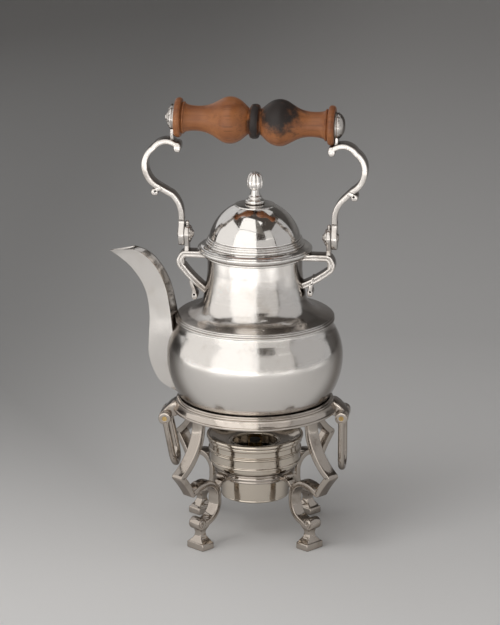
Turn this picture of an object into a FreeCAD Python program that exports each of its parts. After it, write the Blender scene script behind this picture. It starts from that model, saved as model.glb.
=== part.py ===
import FreeCAD, Part
import math
import os
from FreeCAD import Vector

# Silver tea kettle with a swing handle, on a four-legged stand with a spirit lamp.
# Millimetres, +Z up, floor at Z = 0.  Every piece is first drawn about the kettle's own
# upright axis; AXIS_X then puts the middle of the whole length over the origin.
#
# An outline is a list of points (x, z).  A third number bows the run that ends at that
# point: it is the rise of the arc over half its chord, to the right of the way of travel.

AXIS_X = 13.33             # the spout reaches further than the other side
STAND_TURN = 7.0           # degrees: the kettle stands a little turned on its stand
SHEET = 1.2                # wall of raised silver
GAP = 0.3                  # between pieces that part
RUNNING = 0.06             # between a pin and its turning eye, on the radius

# kettle
SEAT_Z = 103.0             # ledge of the stand that the kettle's foot stands on
FOOT_RADIUS = 56.6
FOOT_WALL = 2.2
BASE_Z = 107.0
BOWL_RADIUS = 67.7
BOWL_Z = 143.5             # height of the widest part
BELT_RADIUS = 59.9         # plain band that the shoulder moulding is soldered on
BELT_Z = (170.6, 175.0)
NECK_RADIUS = 36.3
RIM_Z = (221.4, 225.7)
RIM_RADIUS = 38.7
STRAINER_HOLE = 1.6
STRAINER_PITCH = 7.0
STRAINER_Z = 142.0

# lid
FLANGE_RADIUS = 43.9
FLANGE_Z = (226.0, 231.2)
STEP_Z = 236.3             # top of the ring that the dome stands in
BEZEL_RADIUS = 34.6
BEZEL_DEPTH = 10.0
FINIAL_Z = 262.5
FINIAL_TOP = 287.3
STUD_RADIUS = 1.5

# brackets, hinges and the swing handle
BRACKET_WIDTH = 12.0
BRACKET_TOP = 224.6
BRACKET_DEPTH = 5.0
BRACKET_REACH = {"left": 59.4, "right": 61.6}
BRACKET_END_Z = {"left": 190.4, "right": 197.6}    # where the lower strap meets the neck
BULB_PLACE = {"left": (46.2, 189.0), "right": (42.8, 194.0)}
BULB_RADIUS = 2.7          # drop that hangs from the lower strap
BULB_STEM = (12.0, 4.4)    # its length above the drop, and its thickness
PIVOT_Z = 237.3
HINGE_SHIFT = 2.4          # the hinges and the swing handle sit this far to the right
EAR_X = (52.7, 56.1)       # plate that stands on the bracket
EAR_RADIUS = 7.0
EAR_STEM = 4.6             # half of the plate's width under its ear
EYE_X = (56.4, 60.8)       # foot of the swing handle's arm
EYE_BELOW = 9.0
EYE_ABOVE = 11.0
EYE_WIDTH = 12.6
ROSETTE_X = (49.2, 52.7)
PIN_RADIUS = 1.9
PIN_HEAD_X = 61.9
ARM_THICKNESS = 4.4
ARM_WIDTH = (9.0, 13.4)    # at the hinge and at the arch
GRIP_Z = 326.3
GRIP_HALF = 60.9
GRIP_TILT = 1.5            # degrees: its right end hangs lower
ROD_RADIUS = 2.5
WASHER_THICKNESS = 2.7
WASHER_RADIUS = 10.6
WASHER_NECK = 4.5          # half width of the neck under it
WASHER_NECK_Z = 308.0
CAP_RADIUS = 9.3
CAP_RISE = 4.6

# stand
RING_INNER = 57.2
RING_OUTER = 63.4
RING_Z = (100.3, 109.3)
LIP_RISE = 0.9             # bead along the ring's inner edge, close to the bowl
LEDGE_RADIUS = 52.0
LEG_ANGLES = (45.0, 135.0, 225.0, 315.0)
LEG_NAMES = ("back_right", "back_left", "front_left", "front_right")
LEG_WIDTH = 10.4
LEG_THICKNESS = 4.6
FOOT_CENTRE = 59.3
FOOT_SIZE = (12.0, 17.4, 6.2)      # outward, across, up
SCROLL_CENTRE = (61.8, 20.4)
SCROLL_RADIUS = 4.9

# side handles of the stand
KNUCKLE_REACH = 68.0
KNUCKLE_Z = 94.6
KNUCKLE_RADIUS = 5.2
KNUCKLE_LENGTH = 19.0
DROP_EYE = 3.7             # thickness of each eye
DROP_EYE_RADIUS = 5.0
DROP_WIRE = 2.8
DROP_LENGTH = {"left": 39.0, "right": 42.5}
DROP_LEAN = {"left": 11.0, "right": 0.0}      # degrees towards the middle of the stand
SIDES = {"left": -1, "right": 1}

# spirit lamp
CUP_RADIUS = 26.8
CUP_Z = (29.8, 53.6)
DRUM_RADIUS = 35.2
DRUM_Z = (58.4, 76.4)
DRUM_WALL = 1.4
COVER_RADIUS = 37.4
COVER_HOLE = 17.0
COVER_DISH = 4.4           # how deep the cover is dished
CRADLE_RADIUS = (27.3, 31.0)
CRADLE_Z = (46.6, 53.3)
PLATE_RADIUS = 30.4        # plate across the reservoir
PLATE_THICKNESS = 1.4
WICK_TUBE = 5.0            # its outer radius
WICK_TUBE_Z = (41.6, 72.0)
WICK_RADIUS = 4.05
WICK_Z = (32.3, 74.5)

X_AXIS = Vector(1, 0, 0)
Y_AXIS = Vector(0, 1, 0)
Z_AXIS = Vector(0, 0, 1)
ORIGIN = Vector(0, 0, 0)


def unit(x, z):
    size = math.hypot(x, z)
    return x / size, z / size


def bow_of(point):
    return point[2] if len(point) > 2 else 0.0


def edge(start, end):
    """A straight or bowed edge in the XZ plane."""
    first = Vector(start[0], 0, start[1])
    last = Vector(end[0], 0, end[1])
    bow = bow_of(end)
    if not bow:
        return Part.LineSegment(first, last).toShape()
    chord = last - first
    rise = Vector(chord.z, 0, -chord.x) * (bow / 2)
    return Part.Arc(first, (first + last) / 2 + rise, last).toShape()


def face(points):
    """Closed outline in the XZ plane; the closing run is straight."""
    ends = points[1:]
    edges = [edge(a, b) for a, b in zip(points, ends)]
    if math.dist(points[-1][:2], points[0][:2]) > 1e-6:
        edges.append(edge(points[-1], points[0][:2]))
    return Part.Face(Part.Wire(edges))


def turned(points):
    """A solid turned about Z."""
    return face(points).revolve(ORIGIN, Z_AXIS, 360)


def headings(start, end):
    """Directions in which a run leaves its start and reaches its end."""
    along = unit(end[0] - start[0], end[1] - start[1])
    half = 2 * math.atan(bow_of(end))
    leave = (along[0] * math.cos(half) + along[1] * math.sin(half),
             along[1] * math.cos(half) - along[0] * math.sin(half))
    reach = (along[0] * math.cos(half) - along[1] * math.sin(half),
             along[1] * math.cos(half) + along[0] * math.sin(half))
    return leave, reach


def offset(points, distance):
    """The path moved sideways, to the left of the way of travel, with mitred corners."""
    runs = [headings(a, b) for a, b in zip(points, points[1:])]
    moved = []
    for i, point in enumerate(points):
        before = runs[i - 1][1] if i else runs[0][0]
        after = runs[i][0] if i < len(runs) else runs[-1][1]
        side = unit(-before[1] - after[1], before[0] + after[0])
        stretch = distance / (side[0] * -before[1] + side[1] * before[0])
        moved.append((point[0] + side[0] * stretch, point[1] + side[1] * stretch, bow_of(point)))
    return moved


def backwards(points):
    bows = [-bow_of(point) for point in points[1:]]
    places = [point[:2] for point in reversed(points)]
    return [places[0]] + [(x, z, bow) for (x, z), bow in zip(places[1:], reversed(bows))]


def band(points, thickness):
    """Outline of a strip of one thickness with the path down its middle."""
    return offset(points, thickness / 2) + backwards(offset(points, -thickness / 2))


def on_axis(points):
    """The same path with its ends that are nearly on the axis moved onto it."""
    return [(0.0,) + point[1:] if abs(point[0]) < 1e-3 else point for point in points]


def shell(points, wall):
    """A turned sheet with the outer path given, from the bottom up."""
    inner = on_axis(offset(points, wall))
    return turned(list(points) + backwards(inner))


def strap(points, thickness, width):
    """A flat bar of one thickness, bent in the XZ plane and centred on Y = 0."""
    return across(band(points, thickness), width)


def across(points, width):
    solid = face(points).extrude(Y_AXIS * width)
    solid.translate(Y_AXIS * (-width / 2))
    return solid


def rod(start, direction, length, radius):
    return Part.makeCylinder(radius, length, Vector(*start), direction)


def block(low, high):
    size = [b - a for a, b in zip(low, high)]
    return Part.makeBox(size[0], size[1], size[2], Vector(*low))


def joined(first, *others):
    return first.multiFuse(list(others)).removeSplitter()


def spun(shape, degrees):
    """The shape turned about the kettle's axis."""
    copy = shape.copy()
    copy.rotate(ORIGIN, Z_AXIS, degrees)
    return copy


def mirrored(shape, side):
    """Pieces are drawn on the right, at +X; the left one is its mirror image."""
    return shape if side == "right" else shape.mirror(ORIGIN, X_AXIS)


def lathe_along_x(points):
    """A solid turned about X; its outline gives (place along X, radius)."""
    solid = turned([(p[1], p[0], *p[2:]) for p in points])
    solid.rotate(ORIGIN, Y_AXIS, 90)
    return solid


# ---------------------------------------------------------------- kettle

BOWL_PATH = [
    (0.0, BASE_Z),
    (51.0, BASE_Z),
    (57.0, 110.2, 0.12),
    (BOWL_RADIUS, BOWL_Z, 0.16),
    (61.3, 165.4, 0.14),
    (BELT_RADIUS, BELT_Z[0], -0.07),
    (BELT_RADIUS, BELT_Z[1]),
    (58.9, 175.8, 0.3),
    (52.0, 177.2),
    (39.0, 191.5, -0.31),
    (NECK_RADIUS, 211.0, -0.03),
    (NECK_RADIUS, RIM_Z[1]),
]


def bowl_filled():
    return turned(BOWL_PATH + [(0.0, RIM_Z[1])])


def strainer_holes():
    """Drilled through the bowl's wall where the spout stands on it."""
    places = [(0, 0)] + [
        (STRAINER_PITCH * math.cos(math.radians(a)), STRAINER_PITCH * math.sin(math.radians(a)))
        for a in range(0, 360, 60)
    ]
    reach = 30.0
    return [
        rod((-BOWL_RADIUS - reach / 2, y, STRAINER_Z + z), X_AXIS, reach, STRAINER_HOLE)
        for y, z in places
    ]


def wall_between(low, high):
    """The kettle's raised wall from one height to another."""
    wall = shell(BOWL_PATH, SHEET)
    return wall.common(rod((0, 0, low), Z_AXIS, high - low, 2 * BOWL_RADIUS))


def kettle_body():
    """The bowl, from its flat base to the top of the belt."""
    bowl = wall_between(BASE_Z - 1, BELT_Z[1])
    return bowl.cut(Part.makeCompound(strainer_holes()))


def kettle_shoulder():
    """The shoulder and the neck, above the belt."""
    return wall_between(BELT_Z[1], RIM_Z[1] + 1)


def kettle_foot():
    inner = FOOT_RADIUS - FOOT_WALL
    low = SEAT_Z + GAP
    ring = turned([(inner, low), (FOOT_RADIUS, low), (FOOT_RADIUS, 109.4), (inner, 109.4)])
    return ring.cut(bowl_filled())


def shoulder_moulding():
    low, high = BELT_Z
    return turned([
        (BELT_RADIUS, low + 0.4),
        (61.3, low + 1.5, -0.2),
        (61.3, low + 2.4, 0.6),
        (60.9, low + 2.8),
        (61.0, low + 3.6, 0.6),
        (BELT_RADIUS, high - 0.2, -0.1),
    ])


def neck_rim():
    low, high = RIM_Z
    return turned([
        (NECK_RADIUS, low),
        (RIM_RADIUS - 0.7, low),
        (RIM_RADIUS, low + 1.6, 0.5),
        (RIM_RADIUS - 0.7, low + 2.1, 0.2),
        (RIM_RADIUS - 0.2, high, 0.3),
        (NECK_RADIUS, high),
    ])


# Under edge and upper edge of the spout, with its half width there, from tip to root.
SPOUT_SECTIONS = [
    ((-112.9, 222.0), (-88.7, 225.4), 5.9),
    ((-103.7, 215.3), (-82.6, 223.0), 6.4),
    ((-95.9, 208.4), (-76.2, 218.0), 7.0),
    ((-88.3, 198.0), (-69.2, 208.4), 7.8),
    ((-83.7, 186.0), (-64.0, 196.4), 8.8),
    ((-82.0, 170.5), (-60.4, 180.5), 10.2),
    ((-82.7, 155.0), (-57.5, 163.0), 11.8),
    ((-82.9, 141.0), (-55.0, 145.0), 13.0),
    ((-79.5, 128.5), (-53.0, 128.5), 13.4),
    ((-73.0, 118.0), (-49.0, 117.0), 12.0),
    ((-60.4, 110.6), (-42.0, 110.6), 9.0),
]
TIP_PINCH = 0.22           # the lower corners draw together at the tip
ROOT_PINCH = 0.72
LOW_CORNER = 0.13          # how far up the section the lower and the upper corners are
HIGH_CORNER = 0.80


def spout_section(low, high, half, share, inset):
    """Six-sided section in the plane through its under and upper edge."""
    along = unit(high[0] - low[0], high[1] - low[1])
    depth = math.dist(low, high) - 2 * inset
    start = (low[0] + along[0] * inset, low[1] + along[1] * inset)
    pinch = TIP_PINCH + (ROOT_PINCH - TIP_PINCH) * min(1.0, 2.5 * share)
    half -= inset * 0.9
    below = half * pinch
    corners = [(0.0, 0.0), (LOW_CORNER, below), (HIGH_CORNER, half), (1.0, 0.0),
               (HIGH_CORNER, -half), (LOW_CORNER, -below)]
    points = []
    for part, y in corners:
        step = depth * part
        points.append(Vector(start[0] + along[0] * step, y, start[1] + along[1] * step))
    return Part.makePolygon(points + points[:1])


def spout_loft(inset):
    last = len(SPOUT_SECTIONS) - 1
    wires = [
        spout_section(low, high, half, i / last, inset)
        for i, (low, high, half) in enumerate(SPOUT_SECTIONS)
    ]
    return Part.makeLoft(wires, True, False)


def spout():
    tube = spout_loft(0.0).cut(spout_loft(SHEET))
    return max(tube.cut(bowl_filled()).Solids, key=lambda solid: solid.Volume)


# ---------------------------------------------------------------- brackets and hinges

def bracket_path(side):
    """Along the top, round the elbow and back to the neck."""
    middle = BRACKET_TOP - BRACKET_DEPTH / 2
    reach = BRACKET_REACH[side]
    return [
        (33.0, middle),
        (reach - 5.3, middle),
        (reach - 1.6, 215.4, -0.35),
        (34.0, BRACKET_END_Z[side], -0.08),
    ]


def bracket(side):
    bar = strap(bracket_path(side), BRACKET_DEPTH, BRACKET_WIDTH)
    x, z = BULB_PLACE[side]
    length, thick = BULB_STEM
    bulb = joined(
        rod((x, -BRACKET_WIDTH / 2, z), Y_AXIS, BRACKET_WIDTH, BULB_RADIUS),
        strap([(x + 2.2, z + length), (x, z, 0.1)], thick, BRACKET_WIDTH),
    )
    solid = joined(bar, bulb).cut(bowl_filled()).cut(neck_rim())
    return mirrored(max(solid.Solids, key=lambda piece: piece.Volume), side)


def shifted(shape, side):
    """Drawn on the right, mirrored for the left, and moved to where the hinges are."""
    made = mirrored(shape, side)
    made.translate(X_AXIS * HINGE_SHIFT)
    return made


def round_ended(x_range, low, high, width):
    """A plate across X, round at both ends of its height."""
    thick = x_range[1] - x_range[0]
    radius = width / 2
    top = rod((x_range[0], 0, high - radius), X_AXIS, thick, radius)
    bottom = rod((x_range[0], 0, low + radius), X_AXIS, thick, radius)
    middle = block((x_range[0], -radius, low + radius), (x_range[1], radius, high - radius))
    return joined(top, bottom, middle)


def hinge_plate(side):
    """Plate standing on the bracket, with a round ear and a small pointed tip."""
    thick = EAR_X[1] - EAR_X[0]
    stem = block((EAR_X[0], -EAR_STEM, BRACKET_TOP - 1), (EAR_X[1], EAR_STEM, PIVOT_Z))
    ear = rod((EAR_X[0], 0, PIVOT_Z), X_AXIS, thick, EAR_RADIUS)
    tip_foot = Vector((EAR_X[0] + EAR_X[1]) / 2, 0, PIVOT_Z + EAR_RADIUS - 0.8)
    tip = Part.makeCone(1.6, 0.7, 4.2, tip_foot, Z_AXIS)
    hole = rod((EAR_X[0] - 1, 0, PIVOT_Z), X_AXIS, thick + 2, PIN_RADIUS)
    solid = shifted(joined(stem, ear, tip).cut(hole), side)
    return solid.cut(bracket(side))


def rosette(side):
    back = ROSETTE_X[1]
    disc = lathe_along_x([
        (back, PIN_RADIUS),
        (back, 6.5),
        (back - 1.2, 6.5, -0.2),
        (back - 1.5, 4.6, 0.1),
        (back - 2.7, 4.1, -0.3),
        (back - 3.5, PIN_RADIUS, -0.1),
    ])
    return shifted(disc, side)


def hinge_pin(side):
    """Rivet through rosette, hinge plate and arm, headed on the outside."""
    start = ROSETTE_X[0] + 0.1
    head = EYE_X[1] + 0.1
    pin = lathe_along_x([
        (start, 0.0),
        (start, PIN_RADIUS),
        (head, PIN_RADIUS),
        (head, 3.3),
        (PIN_HEAD_X, 1.8, 0.3),
        (PIN_HEAD_X, 0.0),
    ])
    return shifted(pin, side)


# ---------------------------------------------------------------- lid

DOME_PATH = [
    (34.9, STEP_Z),
    (34.9, STEP_Z + 0.8),
    (15.4, 261.1, 0.235),
    (15.4, 261.7),
    (6.0, FINIAL_Z, 0.05),
    (0.0, FINIAL_Z),
]


def lid_flange():
    low, high = FLANGE_Z
    return turned([
        (BEZEL_RADIUS, low),
        (FLANGE_RADIUS - 0.5, low),
        (FLANGE_RADIUS, low + 0.8, 0.2),
        (FLANGE_RADIUS, low + 2.2, 0.2),
        (FLANGE_RADIUS - 0.9, low + 3.0, 0.3),
        (42.0, low + 3.1),
        (41.4, low + 3.8, -0.3),
        (39.2, high - 0.2, -0.1),
        (38.2, high),
        (BEZEL_RADIUS, high),
    ])


def lid_step_ring():
    low = FLANGE_Z[1]
    return turned([
        (33.7, low),
        (37.7, low),
        (37.3, low + 2.3, 0.6),
        (36.3, low + 2.7),
        (36.3, low + 3.3),
        (36.2, low + 4.6, 0.6),
        (35.4, STEP_Z),
        (33.7, STEP_Z),
    ])


def lid_bezel():
    """Collar inside the neck that keeps the lid in its place."""
    low, high = FLANGE_Z
    return turned([
        (BEZEL_RADIUS - 1.1, low - BEZEL_DEPTH),
        (BEZEL_RADIUS - 0.4, low - BEZEL_DEPTH),
        (BEZEL_RADIUS, low - BEZEL_DEPTH + 1.0),
        (BEZEL_RADIUS, high),
        (BEZEL_RADIUS - 1.1, high),
    ])


def lid_dome():
    hole = rod((0, 0, FINIAL_Z - 5), Z_AXIS, 10, STUD_RADIUS)
    return shell(DOME_PATH, SHEET).cut(hole)


def finial():
    z = FINIAL_Z
    return turned([
        (0.0, z - 5.4),
        (STUD_RADIUS, z - 5.4),
        (STUD_RADIUS, z),
        (6.0, z),
        (7.5, z + 1.5, 0.4),
        (6.4, z + 3.4, 0.4),
        (5.0, z + 4.0, -0.3),
        (5.3, z + 5.2, 0.4),
        (4.6, z + 6.0, 0.4),
        (3.2, z + 10.0, -0.15),
        (3.6, z + 11.8, -0.1),
        (5.5, z + 12.3),
        (6.2, z + 15.6, 0.1),
        (4.3, z + 23.0, 0.2),
        (0.5, FINIAL_TOP, 0.2),
        (0.0, FINIAL_TOP),
    ])


def finial_nut():
    """Nut on the stud, inside the dome."""
    high = FINIAL_Z - SHEET
    nut = rod((0, 0, high - 2.4), Z_AXIS, 2.4, 5.0)
    return nut.cut(rod((0, 0, high - 4), Z_AXIS, 6, STUD_RADIUS))


# ---------------------------------------------------------------- swing handle

ARM_FOOT = {"left": 56.2, "right": 61.0}      # how far out the strap comes down
ARM_CURL_RADIUS = 3.8
SPUR_PLACE = (76.6, 269.8)
SPUR_RADIUS = 2.9


def arm_path(side):
    """From the curl under the grip, over the arch and down to the hinge."""
    foot = ARM_FOOT[side]
    return [
        (58.9, 304.9),
        (77.2, 304.4, -0.48),
        (84.0, 290.5, -0.26),
        (74.8, 274.8, -0.26),
        (foot + 7.2, 268.4),
        (foot, 251.5, 0.2),
        (foot, 246.0),
    ]


def arm_taper():
    """Keeps the arm narrow at the hinge and wide at the arch."""
    narrow, wide = (w / 2 for w in ARM_WIDTH)
    points = [
        Vector(40, -narrow, 245),
        Vector(40, narrow, 245),
        Vector(40, wide, 300),
        Vector(40, wide, 340),
        Vector(40, -wide, 340),
        Vector(40, -wide, 300),
    ]
    return Part.Face(Part.makePolygon(points + points[:1])).extrude(X_AXIS * 60)


def bail_arm(side):
    """S-scrolled strap with an eye at its foot and a round ear beside the grip."""
    width = ARM_WIDTH[1]
    path = arm_path(side)
    strip = strap(path, ARM_THICKNESS, width)
    curl = rod((path[0][0], -width / 2, path[0][1]), Y_AXIS, width, ARM_CURL_RADIUS)
    spur = rod((SPUR_PLACE[0], -width / 2, SPUR_PLACE[1]), Y_AXIS, width, SPUR_RADIUS)
    root = strap([(72.5, 273.4), SPUR_PLACE], 3.0, width)
    scroll = joined(strip, curl, spur, root).common(arm_taper())
    eye = shifted(round_ended(EYE_X, PIVOT_Z - EYE_BELOW, PIVOT_Z + EYE_ABOVE, EYE_WIDTH), side)
    washer = tilted(mirrored(grip_washer(), side))
    solid = joined(mirrored(scroll, side), eye, washer)
    hinge_hole = shifted(rod((EYE_X[0] - 1, 0, PIVOT_Z), X_AXIS, 7, PIN_RADIUS + RUNNING), side)
    rod_hole = tilted(mirrored(rod((GRIP_HALF, 0, GRIP_Z), X_AXIS, 6, ROD_RADIUS), side))
    return solid.cut(hinge_hole).cut(rod_hole)


def grip_washer():
    """Round plate against the end of the grip, with a short neck down to the arch."""
    start = GRIP_HALF + GAP
    end = start + WASHER_THICKNESS
    neck = block((start, -WASHER_NECK, WASHER_NECK_Z), (end, WASHER_NECK, GRIP_Z))
    return joined(rod((start, 0, GRIP_Z), X_AXIS, WASHER_THICKNESS, WASHER_RADIUS), neck)


def tilted(shape):
    """The grip and what is on its rod are not quite level."""
    shape.rotate(Vector(0, 0, GRIP_Z), Y_AXIS, GRIP_TILT)
    return shape


# Half of the turned wood, from its middle outwards, as (place along X, radius, bow).
GRIP_OUTLINE = [
    (0.0, 13.1, 0.0),
    (3.1, 12.6, 0.2),
    (4.7, 9.6, 0.2),
    (20.0, 17.8, 0.42),
    (34.0, 11.6, 0.1),
    (48.0, 9.5, -0.12),
    (53.0, 10.6, -0.1),
    (55.0, 11.9, 0.3),
    (55.6, 11.2, 0.0),
    (56.4, 14.4, 0.2),
    (60.3, 14.7, 0.3),
    (GRIP_HALF, 13.8, 0.3),
    (GRIP_HALF, ROD_RADIUS, 0.0),
]


def grip():
    """Turned wood: two bulbs, a bead between them, and a collar at each end."""
    left = backwards([(-place, radius, -bow) for place, radius, bow in GRIP_OUTLINE])
    solid = lathe_along_x(left + GRIP_OUTLINE[1:])
    solid.translate(Z_AXIS * GRIP_Z)
    return tilted(solid)


def grip_rod():
    """Iron rod through the grip, riveted over inside the caps."""
    end = GRIP_HALF + GAP + WASHER_THICKNESS
    return tilted(rod((-end, 0, GRIP_Z), X_AXIS, 2 * end, ROD_RADIUS))


def rod_cap(side):
    base = GRIP_HALF + GAP + WASHER_THICKNESS
    cap = lathe_along_x([
        (base, 0.0),
        (base, CAP_RADIUS),
        (base + 1.0, CAP_RADIUS, -0.1),
        (base + CAP_RISE, 0.8, 0.25),
        (base + CAP_RISE, 0.0),
    ])
    cap.translate(Z_AXIS * GRIP_Z)
    return tilted(mirrored(cap, side))


# ---------------------------------------------------------------- stand

def stand_ring():
    low, high = RING_Z
    return turned([
        (LEDGE_RADIUS, low),
        (RING_OUTER - 0.4, low),
        (RING_OUTER, low + 1.2, 0.3),
        (RING_OUTER - 0.4, low + 2.2, 0.3),
        (RING_OUTER - 0.9, low + 2.4),
        (60.6, high - 2.2, -0.08),
        (60.3, high - 1.7),
        (60.2, high - 0.7, 0.3),
        (59.3, high, 0.3),
        (58.8, high + 0.4),
        (58.3, high + LIP_RISE, 0.4),
        (57.8, high + 0.4, 0.4),
        (RING_INNER, high - 0.1),
        (RING_INNER, SEAT_Z),
        (LEDGE_RADIUS, SEAT_Z),
    ])


LEG_PATH = [
    (60.4, RING_Z[0] + 3.0),
    (61.9, 89.5, 0.05),
    (82.2, 62.2, 0.17),
    (70.9, 46.6, 0.05),
    (58.6, 51.0, 0.1),
    (43.6, 37.2, 0.52),
    (54.4, 20.6, 0.37),
]


def foot_pad():
    out, wide, high = FOOT_SIZE
    low = FOOT_CENTRE - out / 2
    pad = block((low, -wide / 2, 0), (low + out, wide / 2, high))
    return pad.makeChamfer(0.6, pad.Edges)


# The stem between scroll and pad, as (height, half outward, half across).
STEM_LEVELS = [(6.0, 5.9, 8.6), (8.6, 5.2, 3.2), (13.0, 3.4, 3.0), (17.4, 4.4, 4.8)]
TONGUE_PATH = [(62.4, 106.6), (64.2, 103.2, 0.1), (64.4, 99.6), (62.4, 94.0, 0.1)]


def foot_stem():
    rings = []
    for z, out, wide in STEM_LEVELS:
        corners = [(1, 1), (-1, 1), (-1, -1), (1, -1), (1, 1)]
        points = [Vector(FOOT_CENTRE + out * a, wide * b, z) for a, b in corners]
        rings.append(Part.makePolygon(points))
    return Part.makeLoft(rings, True, True)


def leg(degrees):
    """Scrolled flat bar from the ring to its foot, drawn in the plane of its own radius."""
    above = block((0, -LEG_WIDTH, RING_Z[0]), (2 * RING_OUTER, LEG_WIDTH, 2 * RING_Z[1]))
    bar = strap(LEG_PATH, LEG_THICKNESS, LEG_WIDTH).cut(above)
    tongue = strap(TONGUE_PATH, 2.4, LEG_WIDTH - 1.0)
    heel_end = (SCROLL_CENTRE[0], SCROLL_CENTRE[1] - 2.6, 0.12)
    heel = strap([LEG_PATH[-1][:2], heel_end], LEG_THICKNESS, LEG_WIDTH)
    centre = (SCROLL_CENTRE[0], -LEG_WIDTH / 2, SCROLL_CENTRE[1])
    scroll = rod(centre, Y_AXIS, LEG_WIDTH, SCROLL_RADIUS)
    solid = joined(bar, tongue, heel, scroll, foot_stem(), foot_pad()).cut(stand_ring())
    solid = max(solid.Solids, key=lambda piece: piece.Volume)
    return spun(solid, degrees + STAND_TURN)


def lamp_cradle():
    inner, outer = CRADLE_RADIUS
    low, high = CRADLE_Z
    return turned([
        (inner, low),
        (outer - 1.4, low),
        (outer - 0.6, low + 1.4, 0.2),
        (outer, high - 2.4, 0.5),
        (outer - 0.9, high - 0.5, 0.3),
        (outer - 1.6, high),
        (inner, high),
    ])


def lamp_bracket(degrees):
    """Short scrolled strap from a leg to the ring that holds the lamp."""
    bar = strap([(29.5, 49.8), (36.6, 49.4), (44.0, 44.0, -0.2)], 2.8, 7.0)
    curl = rod((36.8, -3.5, 52.2), Y_AXIS, 7.0, 2.4)
    solid = spun(joined(bar, curl), degrees + STAND_TURN)
    return solid.cut(leg(degrees)).cut(lamp_cradle())


# ---------------------------------------------------------------- side handles

def knuckle_centre(side):
    turn = math.radians(STAND_TURN)
    reach = KNUCKLE_REACH * SIDES[side]
    return Vector(reach * math.cos(turn), reach * math.sin(turn), KNUCKLE_Z)


def knuckle(side):
    """Barrel beside the ring, with its own axis along Y, and the lug that carries it."""
    centre = knuckle_centre(side)
    start = centre - Y_AXIS * (KNUCKLE_LENGTH / 2)
    barrel = Part.makeCylinder(KNUCKLE_RADIUS, KNUCKLE_LENGTH, start, Y_AXIS)
    reach = abs(centre.x)
    lug = across([
        (reach - 14.0, KNUCKLE_Z + 1.0),
        (reach - 14.0, RING_Z[1] - 2.4),
        (reach - 6.0, RING_Z[1] - 2.8),
        (reach + 1.6, KNUCKLE_Z + 4.9, 0.1),
        (reach, KNUCKLE_Z),
    ], KNUCKLE_LENGTH - 3.0)
    lug = mirrored(lug, side)
    lug.translate(Y_AXIS * centre.y)
    solid = joined(barrel, lug).cut(stand_ring()).cut(ring_hollow())
    bore = Part.makeCylinder(PIN_RADIUS, 40, centre - Y_AXIS * 20, Y_AXIS)
    return max(solid.Solids, key=lambda piece: piece.Volume).cut(bore)


def ring_hollow():
    """Everything inside or under the ring, where no lug may reach."""
    upper = Part.makeCylinder(RING_INNER + 1.0, 30, Vector(0, 0, SEAT_Z - 1), Z_AXIS)
    lower = Part.makeCylinder(RING_OUTER - 3.0, 30, Vector(0, 0, RING_Z[0] - 30), Z_AXIS)
    return upper.fuse(lower)


def drop_pin(side):
    half = KNUCKLE_LENGTH / 2 + GAP + DROP_EYE
    return Part.makeCylinder(PIN_RADIUS, 2 * half, knuckle_centre(side) - Y_AXIS * half, Y_AXIS)


def drop_handle(side):
    """D-shaped handle that hangs from the knuckle by an eye at each end."""
    centre = knuckle_centre(side)
    drop = DROP_LENGTH[side]
    near = KNUCKLE_LENGTH / 2 + GAP
    middle = near + DROP_EYE / 2
    arm_z = KNUCKLE_Z - drop + middle * 0.75
    top_z = KNUCKLE_Z - 3
    near_top, near_end = Vector(0, -middle, top_z), Vector(0, -middle, arm_z)
    far_end, far_top = Vector(0, middle, arm_z), Vector(0, middle, top_z)
    path = Part.Wire([
        Part.LineSegment(near_top, near_end).toShape(),
        Part.Arc(near_end, Vector(0, 0, KNUCKLE_Z - drop), far_end).toShape(),
        Part.LineSegment(far_end, far_top).toShape(),
    ])
    section = Part.Wire([Part.makeCircle(DROP_WIRE, near_top, Z_AXIS)])
    loop = path.makePipeShell([section], True, True)
    eyes = [rod((0, y, KNUCKLE_Z), Y_AXIS, DROP_EYE, DROP_EYE_RADIUS) for y in (-near - DROP_EYE, near)]
    solid = joined(loop, *eyes)
    solid = solid.cut(rod((0, -30, KNUCKLE_Z), Y_AXIS, 60, PIN_RADIUS + RUNNING))
    clear = rod((0, -near, KNUCKLE_Z), Y_AXIS, 2 * near, KNUCKLE_RADIUS + GAP)
    solid = solid.cut(clear)
    lean = DROP_LEAN[side] * SIDES[side]
    solid.rotate(Vector(0, 0, KNUCKLE_Z), Y_AXIS, lean)
    solid.translate(Vector(centre.x, centre.y, 0))
    return solid


# ---------------------------------------------------------------- spirit lamp

CUP_PATH = [
    (0.0, CUP_Z[0]),
    (25.2, CUP_Z[0]),
    (26.2, CUP_Z[0] + 0.9, 0.35),
    (CUP_RADIUS, CUP_Z[1]),
    (31.6, CUP_Z[1] + 0.6),
    (33.4, DRUM_Z[0] - 1.8, 0.3),
    (33.4, DRUM_Z[0]),
]


def lamp_cup():
    """Spirit reservoir; its shoulder rests on the cradle."""
    return shell(CUP_PATH, SHEET)


def lamp_lid_plate():
    """Plate soldered across the reservoir, with the hole for the wick tube."""
    low = CUP_Z[1] + SHEET
    plate = rod((0, 0, low), Z_AXIS, PLATE_THICKNESS, PLATE_RADIUS)
    return plate.cut(rod((0, 0, low - 1), Z_AXIS, 4, WICK_TUBE)).cut(lamp_cup())


def wick_tube():
    low, high = WICK_TUBE_Z
    tube = rod((0, 0, low), Z_AXIS, high - low, WICK_TUBE)
    return tube.cut(rod((0, 0, low - 1), Z_AXIS, high - low + 2, WICK_RADIUS + 0.05))


def wick():
    low, high = WICK_Z
    return rod((0, 0, low), Z_AXIS, high - low, WICK_RADIUS)


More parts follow.
